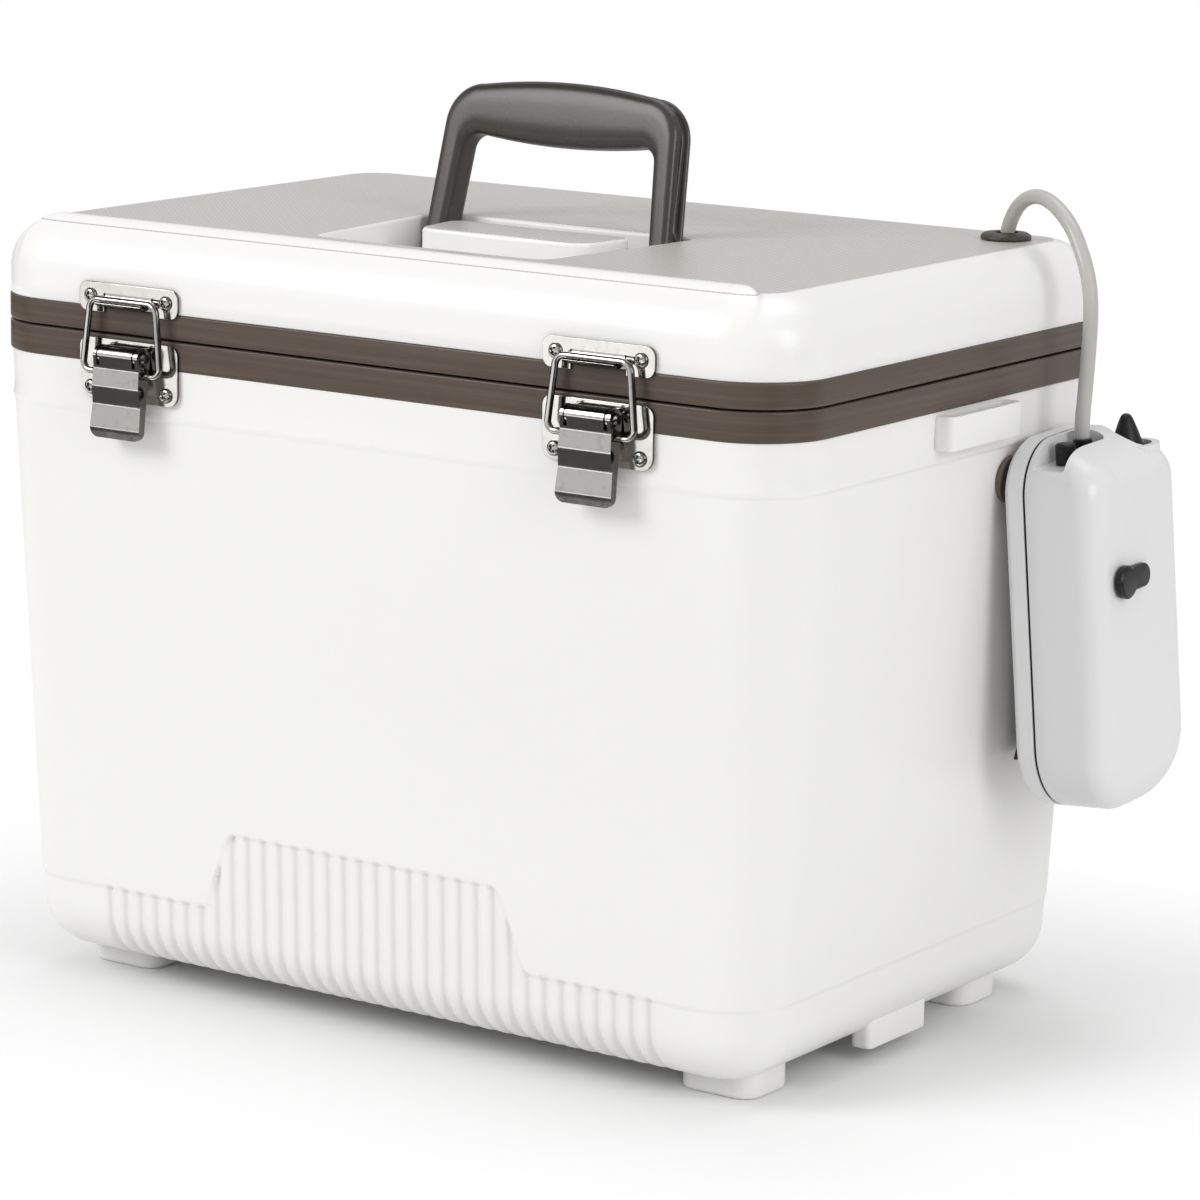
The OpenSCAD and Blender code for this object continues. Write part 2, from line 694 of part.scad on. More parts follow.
// The case's outline in y and z, inset by m: round shoulders and a rounder foot.
module case_plan(m = 0) {
    w = pump_w / 2 - m;
    h = pump_h / 2 - m;
    top = 22 - m;
    foot = 28 - m;
    translate([-w + foot, -h]) square([2 * (w - foot), 2 * h]);
    translate([-w + top, 0]) square([2 * (w - top), h]);
    translate([-w, -h + foot]) square([2 * w, 2 * h - foot - top]);
    for (y = [-1, 1]) {
        translate([y * (w - top), h - top]) circle(top);
        translate([y * (w - foot), -h + foot]) circle(foot);
    }
}
module case_slab(x0, x1, m = 0) {
    translate([x0, 0, 0]) rotate([90, 0, 90]) linear_extrude(x1 - x0) case_plan(m);
}
// The front shell: the case's outline, cut by its side view, whose top slopes to the front,
// and by its top view with round front edges.
module front_form(x0, m = 0) {
    h = pump_h / 2 - m;
    w = pump_w / 2 - m;
    x = pump_x - m;
    intersection() {
        case_slab(x0, x, m);
        rotate([90, 0, 0]) linear_extrude(pump_w + 10, center = true)
            polygon(rounded([[-1, -h - 1, 0], [x - 7, -h - 1, 0], [x, -h + 8, 7], [x, h - 16, 8],
                [22, h + 1, 16], [-1, h + 1, 0]]));
        linear_extrude(pump_h + 10, center = true)
            polygon(rounded([[-1, -w - 1, 0], [x - 9, -w - 1, 0], [x, -w + 7, 9 - m], [x, w - 7, 9 - m],
                [x - 9, w + 1, 0], [-1, w + 1, 0]]));
    }
}
module pump_front_shell() {
    t = 2.5;
    color(white) pump_frame() difference() {
        front_form(seam_x + seal_t);
        difference() {
            front_form(seam_x, t);
            translate([0, 0, notch_z - t]) linear_extrude(20) notch_plan(t);
            translate([inlet_at[0], inlet_at[1], inlet_z - t]) cylinder(h = 20, r = 9.8 + t);
            for (p = screw_spots) translate([seam_x - 1, p[0], p[1]]) rotate([0, 90, 0])
                cylinder(h = 9, r = 3.4);
        }
        translate([0, 0, notch_z]) linear_extrude(20) notch_plan(0);
        translate([inlet_at[0], inlet_at[1], inlet_z]) cylinder(h = 20, r = 9.8);
        for (p = screw_spots) translate([0, p[0], p[1]]) rotate([0, 90, 0]) cylinder(h = 15, r = 1.3);
        for (y = nipple_y) translate([nipples_x, y, notch_z - 8]) cylinder(h = 10, r = 2.6);
        translate([inlet_at[0], inlet_at[1], inlet_z - 8]) cylinder(h = 10, r = 4.6);
        switch_slot(pump_x - 5, pump_x + 1);
    }
}
module notch_plan(m) {
    translate([19.3, -16]) plan([14 + 2 * m, 41 + 2 * m, 5 + m]);
}
screw_spots = [[29.8, -38], [-29.8, -38], [29.8, 50], [-29.8, 50]];
module pump_back_shell() {
    color(white) pump_frame() difference() {
        union() {
            case_slab(0, 1.3, 2.6);
            case_slab(1.3 - eps, 2.8, 1.2);
            case_slab(2.8 - eps, seam_x);
        }
        case_slab(2.5, seam_x + 1, 3.6);
        case_slab(4, seam_x + 1, 2.5);
        for (p = screw_spots) translate([-1, p[0], p[1]]) rotate([0, 90, 0]) {
            cylinder(h = 6, r = 1.3);
            cylinder(h = 2.6, r = 2.8);
        }
        // keyholes that drop over the wall studs
        for (y = stud_y) translate([-1, y, stud_z]) rotate([90, 0, 90]) linear_extrude(5) {
            circle(4.4);
            translate([-4.4, -13]) square([8.8, 13]);
            translate([0, -13]) circle(7.2);
        }
    }
}
module pump_seal() {
    color(black) pump_frame() translate([seam_x, 0, 0]) rotate([90, 0, 90]) linear_extrude(seal_t)
        difference() {
            case_plan(0.6);
            case_plan(2.6);
        }
}
module pump_screws() {
    color(steel) pump_frame() for (p = screw_spots) translate([0, p[0], p[1]]) rotate([0, 90, 0]) {
        cylinder(h = 14.5, r = 1.3);
        cylinder(h = 1.6, r = 2.6);
    }
}
module pump_clip() {
    color(black) pump_frame() rotate([90, 0, 0]) linear_extrude(22, center = true)
        polygon(rounded([[0, 24, 0], [-1.6, 24, 0.6], [-1.6, 4, 1], [-10, -1, 3], [-12.2, -50, 4],
            [-14.8, -58, 0.5], [-13.4, -58.6, 0.5], [-10.6, -50, 4], [-8.6, -2, 2], [0, 3, 0]], 4));
}
stud_y = [-23.5, 23.5];
stud_z = 59;
// Where the studs' feet meet the wall, and how much that changes along the case, which leans two ways
stud_foot = -3.1;
lean_across = -sin(pump_turn[0]) * sin(pump_turn[1]);
module pump_studs() {
    color(brown) pump_frame() for (y = stud_y) translate([0, y, stud_z]) {
        rotate([0, 90, 0]) {
            translate([0, 0, -3]) cylinder(h = 6, r = 4);
            translate([0, 0, 2.8]) cylinder(h = 2, r = 6.4);
        }
        translate([stud_foot + y * lean_across, 0, 0]) rotate([0, 90 - pump_turn[1] + wall_lean, 0])
            translate([0, 0, -1.2]) cylinder(h = 2.2, r = 9.4);
    }
}
module pump_outlets() {
    color(black) pump_frame() {
        for (y = nipple_y) translate([nipples_x, y, notch_z - 8]) cylinder(h = 8, r = 2.6);
        translate([nipples_x, nipple_y[0], notch_z - eps]) cylinder(h = 6, r = 2);
        translate([nipples_x, nipple_y[1], notch_z]) cylinder(h = 8, r = 3.9);
    }
}
module outlet_cap() {
    color(black) pump_frame() translate([nipples_x, nipple_y[0], notch_z + 0.4]) difference() {
        union() {
            cylinder(h = 7.4, r = 4);
            translate([0, 0, 7.4 - eps]) cylinder(h = 0.8, r1 = 4, r2 = 3.2);
        }
        translate([0, 0, -1]) cylinder(h = 7.2, r = 2 + running);
    }
}
module pump_inlet() {
    color(black) pump_frame() translate([inlet_at[0], inlet_at[1], inlet_z]) difference() {
        union() {
            cylinder(h = 2.6, r = 9.2);
            translate([0, 0, -8]) cylinder(h = 8.1, r = 4.6);
        }
        translate([0, 0, -6]) cylinder(h = 12, r = 2.5 + running);
    }
}
module inlet_plug() {
    color(black) pump_frame() translate([inlet_at[0], inlet_at[1], inlet_z + 3]) {
        rotate_extrude() polygon([[0, 0], [5.6, 0], [6, 0.8], [5.2, 3], [2.4, 13.4], [1.8, 14.6],
            [0.8, 15.2], [0, 15.3]]);
        translate([0, 0, -7.5]) cylinder(h = 8, r = 2.5);
    }
}
module switch_slot(x0, x1) {
    translate([x0, switch_at[0] - switch_travel / 2 - 3.4, switch_at[1] - 2.2])
        cube([x1 - x0, switch_travel + 6.8, 4.4]);
}
module switch_plate() {
    color(black) pump_frame() difference() {
        translate([pump_x, switch_at[0], switch_at[1]]) rotate([90, 0, 90]) linear_extrude(0.9)
            plan([30, 11.6, 5.7]);
        switch_slot(pump_x - 1, pump_x + 2);
    }
}
module switch_slider() {
    color(black) pump_frame() translate([0, switch_at[0] - switch_travel / 2, switch_at[1]]) {
        translate([pump_x - 3.5, -3, -2]) cube([5, 6, 4]);
        translate([pump_x + 1.2, 0, 0]) rotate([0, 90, 0]) {
            cylinder(h = 2.4, r = 6.6);
            translate([0, 0, 2.4 - eps]) cylinder(h = 0.9, r1 = 6.6, r2 = 5.6);
        }
    }
}
motor_at = [22, -12];
module pump_motor() {
    color(steel) pump_frame() translate([motor_at[0], motor_at[1], -5]) difference() {
        union() {
            cylinder(h = 26, r = 11.5);
            translate([0, 0, 26 - eps]) cylinder(h = 1.4, r = 3.4);
        }
        translate([0, 0, 16]) cylinder(h = 12, r = 1 + running);
    }
}
module pump_crank() {
    color(steel) pump_frame() translate([motor_at[0], motor_at[1], 12]) {
        cylinder(h = 16, r = 1);
        translate([0, 0, 11]) cylinder(h = 3, r = 7);
        translate([3.4, 0, 13]) cylinder(h = 4, r = 1.4);
    }
}
module pump_diaphragm() {
    color(black) pump_frame() translate([motor_at[0], motor_at[1], 30]) rotate_extrude()
        polygon([[0, 0], [4, 0], [5, 3], [11.5, 3.4], [11.5, 6], [0, 6]]);
}
module pump_air_chamber() {
    color([0.8, 0.8, 0.78]) pump_frame() {
        translate([motor_at[0], motor_at[1], 36]) cylinder(h = 12, r = 12.5);
        for (y = nipple_y) translate([nipples_x, y, 47.9]) cylinder(h = notch_z - 8 - 47.9, r = 2.2);
    }
}
module pump_cells() {
    color([0.3, 0.45, 0.3]) pump_frame() for (y = [-1, 1]) translate([20.5, y * 13.5, -61]) {
        cylinder(h = cell_l - 1.5, r = cell_r);
        cylinder(h = cell_l, r = 3);
    }
}
module pump_contacts() {
    color("goldenrod") pump_frame() {
        for (y = [-1, 1]) translate([20.5, y * 13.5, -61 - 4.8]) cylinder(h = 4.8, r1 = 6, r2 = 4);
        translate([20.5 - 5, -18, -66.6]) cube([10, 36, 0.8]);
        for (y = [-1, 1]) translate([20.5 - 5, y * 13.5 - 5, -61 + cell_l]) cube([10, 10, 0.8]);
    }
}

// ---- Air line ----
function tangent(p, i) = unit(p[min(i + 1, len(p) - 1)] - p[max(i - 1, 0)]);
// One side direction carried along the route, so that the tube doesn't twist.
function sides(p, i = 0, s = [0, 1, 0]) = i == len(p) ? [] :
    let (t = tangent(p, i), n = unit(s - (s * t) * t)) concat([n], sides(p, i + 1, n));
module tube(route, d, n = 10) {
    s = sides(route);
    rings = len(route);
    pts = [for (i = [0 : rings - 1]) let (t = tangent(route, i), b = cross(t, s[i]))
        for (k = [0 : n - 1]) route[i] + d / 2 * (cos(360 * k / n) * s[i] + sin(360 * k / n) * b)];
    walls = [for (i = [0 : rings - 2], k = [0 : n - 1]) let (a = i * n + k, b = i * n + (k + 1) % n)
        each [[a, b, b + n], [a, b + n, a + n]]];
    caps = [[for (k = [n - 1 : -1 : 0]) k], [for (k = [0 : n - 1]) (rings - 1) * n + k]];
    polyhedron(pts, [for (f = concat(walls, caps)) [for (j = [len(f) - 1 : -1 : 0]) f[j]]]);
}
module air_tube_outer() {
    color([0.8, 0.8, 0.78, 0.6]) tube(outer_route, tube_d);
}
module air_tube_inner() {
    color([0.8, 0.8, 0.78, 0.6]) tube(inner_route, tube_d);
}
module air_stone() {
    color([0.45, 0.52, 0.6]) translate(stone_at) rotate([90, 0, 0]) {
        cylinder(h = stone_l, r = stone_r);
    }
}

tub_shell();
tub_liner();
tub_foam();
tub_trim();
hinge_leaves_tub();
hinge_screws_tub();
latch_base(-1);  // latch_base_left
latch_base(1);  // latch_base_right
latch_base_screws();
latch_rivets();
lid_shell();
lid_liner();
lid_foam();
lid_trim();
lid_gasket();
lid_grommet();
latch_keeper(-1);  // latch_keeper_left
latch_keeper(1);  // latch_keeper_right
latch_keeper_screws();
hinge_leaves_lid();
hinge_screws_lid();
hinge_pins();
handle_pins();
handle();
latch_lever(-1);  // latch_lever_left
latch_lever(1);  // latch_lever_right
latch_bail(-1);  // latch_bail_left
latch_bail(1);  // latch_bail_right
pump_back_shell();
pump_seal();
pump_front_shell();
pump_screws();
pump_clip();
pump_studs();
pump_outlets();
outlet_cap();
pump_inlet();
inlet_plug();
switch_plate();
switch_slider();
pump_motor();
pump_crank();
pump_diaphragm();
pump_air_chamber();
pump_cells();
pump_contacts();
air_tube_outer();
air_tube_inner();
air_stone();
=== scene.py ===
"""Looks of the live bait chest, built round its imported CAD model.

Metres, in the model's own frame: X along the front, the front faces -Y, Z is up and the floor is z = 0.
"""
import json
import math

import bmesh
import bpy
import numpy as np
from mathutils import Matrix, Vector


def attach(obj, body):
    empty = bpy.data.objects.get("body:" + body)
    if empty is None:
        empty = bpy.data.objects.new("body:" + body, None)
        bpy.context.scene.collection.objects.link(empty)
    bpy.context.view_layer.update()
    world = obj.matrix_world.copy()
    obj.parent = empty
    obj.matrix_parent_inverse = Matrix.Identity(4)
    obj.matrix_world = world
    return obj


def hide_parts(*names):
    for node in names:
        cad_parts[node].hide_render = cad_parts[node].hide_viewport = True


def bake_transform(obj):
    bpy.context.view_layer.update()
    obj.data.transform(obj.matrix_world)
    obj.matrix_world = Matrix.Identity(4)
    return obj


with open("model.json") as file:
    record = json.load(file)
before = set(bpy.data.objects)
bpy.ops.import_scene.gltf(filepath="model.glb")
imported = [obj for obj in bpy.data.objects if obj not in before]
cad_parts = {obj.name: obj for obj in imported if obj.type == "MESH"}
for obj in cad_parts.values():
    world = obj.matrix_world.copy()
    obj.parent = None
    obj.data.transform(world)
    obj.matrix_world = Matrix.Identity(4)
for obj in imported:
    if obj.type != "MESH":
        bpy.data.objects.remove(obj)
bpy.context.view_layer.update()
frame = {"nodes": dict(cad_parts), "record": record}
for plain in list(bpy.data.materials):
    bpy.data.materials.remove(plain)
MM = 0.001


# ---- Camera ----
def look_from(place, yaw, pitch, roll, lens):
    """Puts the camera at place. Its view is turned by yaw about Z, then by pitch, then by roll."""
    ahead = Vector((-math.sin(yaw) * math.cos(pitch), math.cos(yaw) * math.cos(pitch), math.sin(pitch)))
    right = Vector((math.cos(yaw), math.sin(yaw), 0))
    up = right.cross(ahead)
    c, s = math.cos(roll), math.sin(roll)
    right, up = c * right + s * up, c * up - s * right
    camera = bpy.data.objects.new("camera", bpy.data.cameras.new("camera"))
    camera.data.lens = lens
    camera.data.sensor_width = 36
    camera.data.clip_end = 100
    bpy.context.scene.collection.objects.link(camera)
    turn = Matrix((right, up, -ahead)).transposed().to_4x4()
    camera.matrix_world = Matrix.Translation(place) @ turn
    bpy.context.scene.camera = camera


look_from(Vector((1.1102, -1.5739, 0.5546)), 0.6028, -0.2016, 0.0160, 142.93)


# ---- Shader maths ----
class Wire:
    """One socket of a material's node tree. Arithmetic on it adds the Math node that works it out."""

    def __init__(self, finish, socket):
        self.finish, self.socket = finish, socket

    def _math(self, operation, *values):
        return self.finish.node("Math", {"operation": operation}, dict(enumerate(values)))

    def __add__(self, other):
        return self._math("ADD", self, other)

    __radd__ = __add__

    def __sub__(self, other):
        return self._math("SUBTRACT", self, other)

    def __rsub__(self, other):
        return self._math("SUBTRACT", other, self)

    def __mul__(self, other):
        return self._math("MULTIPLY", self, other)

    __rmul__ = __mul__

    def __pow__(self, power):
        return self._math("POWER", self, power)

    def __abs__(self):
        return self._math("ABSOLUTE", self)

    def most(self, other):
        return self._math("MAXIMUM", self, other)

    def wave(self):
        return self._math("SINE", self)

    def ramp(self, low, high):
        """0 below low, 1 above high, smooth between them."""
        return self.finish.node("MapRange", {"interpolation_type": "SMOOTHSTEP"},
                                {"Value": self, "From Min": low, "From Max": high})


class Finish:
    """A material: one Principled shader, and what feeds it."""

    def __init__(self, name, color, roughness, **fixed):
        self.material = bpy.data.materials.new(name)
        self.material.use_nodes = True
        self.tree = self.material.node_tree
        self.shader = self.tree.nodes["Principled BSDF"]
        self.feed({"Base Color": (*color, 1), "Roughness": roughness})
        self.feed({key.replace("_", " "): value for key, value in fixed.items()})
        self.color = (*color, 1)

    def feed(self, values):
        for key, value in values.items():
            self._set(self.shader.inputs[key], value)

    def _set(self, socket, value):
        if isinstance(value, Wire):
            self.tree.links.new(value.socket, socket)
        else:
            socket.default_value = value

    def node(self, kind, settings=None, inputs=None, out=0):
        """Adds one shader node: its settings first, then its sockets' values or links."""
        made = self.tree.nodes.new("ShaderNode" + kind)
        for key, value in (settings or {}).items():
            setattr(made, key, value)
        for key, value in (inputs or {}).items():
            self._set(made.inputs[key], value)
        return Wire(self, made.outputs[out])

    def place(self):
        """The surface point in metres, as a vector."""
        return self.node("TexCoord", out=3)

    def axes(self):
        """The surface point's x, y and z."""
        split = self.tree.nodes.new("ShaderNodeSeparateXYZ")
        self._set(split.inputs[0], self.place())
        return [Wire(self, split.outputs[i]) for i in range(3)]

    def noise(self, scale, detail=2.0, stretch=None):
        """Smooth noise about 0.5, with scale waves in a metre, stretched by a factor on each axis."""
        at = self.place()
        if stretch:
            at = self.node("Mapping", {}, {"Vector": at, "Scale": stretch})
        return self.node("TexNoise", {}, {"Vector": at, "Scale": scale, "Detail": detail})

    def mix(self, a, b, share):
        """Colour a, going to colour b with share."""
        return self.node("Mix", {"data_type": "RGBA"}, {0: share, 6: a, 7: b}, out=2)

    def relief(self, height, depth):
        """Bumps whose height runs from 0 to 1 over depth metres."""
        self.feed({"Normal": self.node("Bump", {}, {"Height": height, "Distance": depth})})

    def tint(self, share, color):
        """Blends the base colour towards color by share."""
        source = self.shader.inputs["Base Color"]
        before = Wire(self, source.links[0].from_socket) if source.links else self.color
        self.feed({"Base Color": self.mix(before, (*color, 1), share)})


def moulded(name, color, roughness, grain=900, depth=1e-5, swirl=0.04, **fixed):
    """Moulded plastic: a faint orange-peel relief, slightly uneven gloss and a slight drift of its colour."""
    f = Finish(name, color, roughness, **fixed)
    f.feed({"Roughness": (f.noise(14, 3) - 0.5) * 0.08 + roughness})
    f.relief(f.noise(grain, 2), depth)
    f.tint(f.noise(9, 3) * swirl * 2, [0.82 * c for c in color])
    return f


def polished(name, color, roughness, depth=6e-6, brush=(1, 1, 14)):
    """Polished sheet metal: fine brushing along one axis, and patches that are rubbed duller."""
    f = Finish(name, color, roughness, Metallic=1.0)
    lines = f.noise(700, 3, brush)
    f.feed({"Roughness": (f.noise(120, 3) - 0.5) * 0.14 + (lines - 0.5) * 0.10 + roughness})
    f.relief(lines, depth)
    f.tint(f.noise(300, 4).ramp(0.52, 0.75) * 0.35, [0.6 * c for c in color])
    return f


def pressed_painted_reflection(name, color, roughness):
    """Polished steel of pressed plates and wires, with painted reflection: the base colour stays bright on faces
    that look forward or back in the piece's own frame, and is painted dark where the surface turns away from them
    over its rounded edges, in place of the dark surroundings reflected there."""
    f = polished(name, color, roughness)
    split = f.tree.nodes.new("ShaderNodeSeparateXYZ")
    f.tree.links.new(f.node("TexCoord", out=1).socket, split.inputs[0])
    facing = abs(Wire(f, split.outputs[1])).ramp(0.72, 0.97)
    # painted reflection and shade: the base colour darkens as the face turns from the piece's forward axis
    f.tint((1 - facing) * 0.86, (0.055, 0.048, 0.042))
    return f


def rubbery(name, color, roughness, **fixed):
    """Soft rubber: fine dust in its pores and a dull, slightly mottled face."""
    f = Finish(name, color, roughness, **fixed)
    f.feed({"Roughness": (f.noise(90, 3) - 0.5) * 0.2 + roughness})
    f.relief(f.noise(1500, 3), 2.5e-5)
    f.tint(f.noise(400, 4).ramp(0.55, 0.8) * 0.4, [min(1, 1.6 * c + 0.02) for c in color])
    return f


finishes = {}


def keep(finish):
    finishes[finish.material.name] = finish.material
    return finish


PANEL_Z = 0.3152
PANEL_WAVE = math.pi / 0.0024


def shell_white():
    """The chest's white plastic. The lid's flat faces lie at one height, so height picks them out: they carry a
    fine grid of raised dots and a grey tint that is partly the panel's own tone and partly painted shade, darkest
    as painted shade in the hollows between the dots."""
    f = moulded("white_shell", (0.78, 0.775, 0.76), 0.3, depth=5e-6, swirl=0.015)
    x, y, z = f.axes()
    flat = z.ramp(PANEL_Z - 0.00025, PANEL_Z - 0.00005) * (1 - z.ramp(PANEL_Z + 0.00005, PANEL_Z + 0.0003))
    dots = (x * PANEL_WAVE).wave() * (y * PANEL_WAVE).wave()
    # painted shade, partly the panel's own grey: the tint is strongest in the hollows between the raised dots
    f.tint(flat * (1 - abs(dots) * 0.7), (0.36, 0.335, 0.31))
    f.relief(abs(dots) * flat + f.noise(900, 2) * 0.05, 2.6e-4)
    return f


def trim_brown():
    """The trim's brown plastic, drawn in long streaks along the edge, which a softer gloss follows."""
    f = moulded("brown_trim", (0.082, 0.060, 0.046), 0.3, grain=600, depth=8e-6, swirl=0.1,
                Specular_IOR_Level=0.3)
    streaks = f.noise(60, 4, (0.12, 0.12, 9))
    f.tint(streaks.ramp(0.42, 0.68) * 0.3, (0.14, 0.112, 0.09))
    f.feed({"Roughness": streaks * 0.2 + 0.2})
    return f


keep(shell_white())
keep(moulded("liner_white", (0.80, 0.80, 0.78), 0.34))
keep(rubbery("foam", (0.78, 0.72, 0.55), 0.9))
keep(trim_brown())
keep(moulded("brown_fitting", (0.10, 0.077, 0.060), 0.40, grain=700, swirl=0.2))
keep(pressed_painted_reflection("screw_steel", (0.62, 0.60, 0.57), 0.14))
keep(pressed_painted_reflection("latch_steel", (0.72, 0.70, 0.67), 0.10))
keep(moulded("handle_dark", (0.046, 0.040, 0.034), 0.27, grain=700, depth=2e-5, swirl=0.9))
keep(rubbery("gasket_rubber", (0.03, 0.03, 0.03), 0.6))
keep(rubbery("grommet_rubber", (0.045, 0.033, 0.026), 0.45))
keep(moulded("pump_white", (0.70, 0.695, 0.70), 0.24, grain=1100, depth=4e-6, swirl=0.015))
keep(rubbery("black_rubber", (0.008, 0.008, 0.008), 0.42, Specular_IOR_Level=0.3))
keep(moulded("black_plastic", (0.008, 0.008, 0.008), 0.3, grain=1200, swirl=0.4,
             Specular_IOR_Level=0.35))
keep(polished("motor_steel", (0.55, 0.54, 0.52), 0.32))
keep(moulded("chamber_plastic", (0.58, 0.58, 0.55), 0.45))
keep(moulded("cell_jacket", (0.07, 0.17, 0.07), 0.3))
keep(polished("contact_brass", (0.72, 0.55, 0.25), 0.25))
keep(rubbery("air_stone", (0.16, 0.22, 0.32), 0.9))
keep(moulded("clear_tube", (0.52, 0.51, 0.485), 0.22, grain=400, depth=4e-6,
             Transmission_Weight=0.2, IOR=1.4))

for part in frame["record"]["subparts"]:
    mesh = frame["nodes"][part["node"]].data
    mesh.materials.clear()
    mesh.materials.append(finishes[part["material_slot"]])


# ---- Mesh helpers ----
def add_piece(name, points, faces, slot, body, smooth=True, replaces=()):
    """Makes a piece from points in metres and index faces, gives it its finish and its body."""
    mesh = bpy.data.meshes.new(name)
    mesh.from_pydata(np.asarray(points).reshape(-1, 3).tolist(), [], np.asarray(faces).tolist())
    mesh.validate()
    mesh.shade_smooth() if smooth else mesh.shade_flat()
    piece = bpy.data.objects.new(name, mesh)
    bpy.context.scene.collection.objects.link(piece)
    mesh.materials.append(finishes[slot])
    if body:
        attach(piece, body)
    if replaces:
        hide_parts(*replaces)
    return piece


def quads(rows, columns, closed=True):
    """Faces of a grid of rows by columns points; closed joins the last column to the first."""
    i = np.arange(rows - 1)[:, None] * columns
    j = np.arange(columns if closed else columns - 1)[None, :]
    k = (j + 1) % columns
    return np.stack([i + j, i + k, i + k + columns, i + j + columns], -1).reshape(-1, 4)


# ---- Air tube ----
OUTER_ROUTE = np.array([
    [214.5, 61.5, 243.6], [214.2, 61.4, 247.6], [214.4, 61.2, 253], [215.3, 60.9, 264], [216.2, 60.6, 277],
    [216.8, 60.3, 290], [216.2, 60.6, 300], [213.8, 61.9, 308.7], [209.5, 64.2, 316.8], [204, 67.2, 324.2],
    [196.9, 71, 330], [188.6, 75.5, 333.9], [180.2, 80.1, 335], [172.7, 84.1, 333], [167, 87.2, 328.9],
    [163.1, 89.3, 323.5], [161.1, 90.4, 318.5], [160.1, 91, 313.2], [160, 91, 306], [160, 91, 300]]) * MM
INNER_ROUTE = np.array([
    [160, 91, 300], [160, 91, 285], [160, 91, 262], [160, 91, 240], [160, 90, 215], [160, 88, 190],
    [159, 85, 165], [157, 81, 140], [154, 75, 116], [150, 67, 94], [145, 56, 74], [140, 43, 57], [135, 27, 44],
    [131, 9, 36.5], [129, -9, 34.3], [130, -28, 34.2], [132, -46, 34.2], [133, -57, 34.2],
    [133, -62, 34.2]]) * MM
TUBE_D = 0.006


def smooth_route(points, times):
    """Each stretch between two points is cut into times parts along the cubic that passes through them
    (Catmull-Rom), so the route keeps its points and loses its corners."""
    p = np.vstack([2 * points[0] - points[1], points, 2 * points[-1] - points[-2]])
    t = (np.arange(times) / times)[None, :, None]
    a, b, c, d = (p[k:len(p) - 3 + k, None] for k in range(4))
    cut = 0.5 * (2 * b + (c - a) * t + (2 * a - 5 * b + 4 * c - d) * t ** 2 + (3 * b - a - 3 * c + d) * t ** 3)
    return np.vstack([cut.reshape(-1, 3), points[-1]])


def frames_along(route):
    """Tangent and two sides at every point: the side is the last one, laid square to the new tangent."""
    t = np.gradient(route, axis=0)
    t /= np.linalg.norm(t, axis=1)[:, None]
    side = np.empty_like(t)
    s = np.array([0.0, 1.0, 0.0])
    for i, v in enumerate(t):
        s = s - (s @ v) * v
        s /= np.linalg.norm(s)
        side[i] = s
    return t, side, np.cross(t, side)


def swept(route, radius, around=20):
    """A round bar: circles of the given radius, square to the route, closed by a point at each end."""
    t, s, b = frames_along(route)
    a = np.arange(around) * 2 * np.pi / around
    ring = np.cos(a)[None, :, None] * s[:, None] + np.sin(a)[None, :, None] * b[:, None]
    radius = np.broadcast_to(radius, len(route))[:, None, None]
    walls = route[:, None] + radius * ring
    caps = [np.repeat(route[i][None, None], around, 1) for i in (0, -1)]
    points = np.concatenate([caps[0], walls, caps[1]])
    return points, quads(len(points), around)


def merged(piece, distance=1e-6):
    """Merges the doubled points at closed ends."""
    bm = bmesh.new()
    bm.from_mesh(piece.data)
    bmesh.ops.remove_doubles(bm, verts=bm.verts, dist=distance)
    bmesh.ops.dissolve_degenerate(bm, edges=bm.edges, dist=distance / 10)
    bmesh.ops.recalc_face_normals(bm, faces=bm.faces)
    bm.to_mesh(piece.data)
    bm.free()
    return piece


outer_line = smooth_route(OUTER_ROUTE, 4)
inner_line = smooth_route(INNER_ROUTE, 4)
outer_tube = merged(add_piece("outer_tube", *swept(outer_line, TUBE_D / 2), "clear_tube", None))
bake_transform(outer_tube)
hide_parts("air_tube_outer")
inner_tube = merged(add_piece("inner_tube", *swept(inner_line, TUBE_D / 2), "clear_tube", None))
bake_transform(inner_tube)
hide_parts("air_tube_inner")

# ---- Eased copies of hard CAD pieces ----
BODY_OF = {node: body for body, nodes in frame["record"]["behaviour"]["bodies"].items() for node in nodes}
SLOT_OF = {part["node"]: part["material_slot"] for part in frame["record"]["subparts"]}


def eased(node, width, segments=2, sharp=36, shape=None):
    """A copy of a CAD piece whose hard edges are rounded by width millimetres, as a mould or a press
    leaves them: doubled points are merged, flat faces joined, the shape step moves points where there is
    one, and edges past the sharp angle are bevelled."""
    bm = bmesh.new()
    bm.from_mesh(frame["nodes"][node].data)
    bmesh.ops.remove_doubles(bm, verts=bm.verts, dist=2e-6)
    bmesh.ops.dissolve_limit(bm, angle_limit=math.radians(0.4), verts=bm.verts, edges=bm.edges)
    if shape:
        shape(bm)
    bmesh.ops.recalc_face_normals(bm, faces=bm.faces)
    mesh = bpy.data.meshes.new(node + "_eased")
    bm.to_mesh(mesh)
    bm.free()
    mesh.shade_smooth()
    mesh.set_sharp_from_angle(angle=math.radians(sharp))
    mesh.materials.append(finishes[SLOT_OF[node]])
    piece = bpy.data.objects.new(node + "_eased", mesh)
    bpy.context.scene.collection.objects.link(piece)
    bevel = piece.modifiers.new("round", "BEVEL")
    bevel.width, bevel.segments = width * MM, segments
    bevel.limit_method, bevel.angle_limit = "ANGLE", math.radians(sharp)
    bevel.harden_normals = True
    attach(piece, BODY_OF[node])
    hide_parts(node)
    return piece


LEVER_PIVOT_Z, LEVER_FACE, LEVER_LENGTH, CUT_STEP = 266.5, 138.6, 33.4, 0.7
# Reach of the plain CAD face at depths below the lever's pivot
PLAIN_AT = (0, 4.5, 8.5, 17, 27, 31, 33.4)
PLAIN_FACE = (138.6, 138.3, 138.1, 138.4, 138.9, 139.1, 138.6)
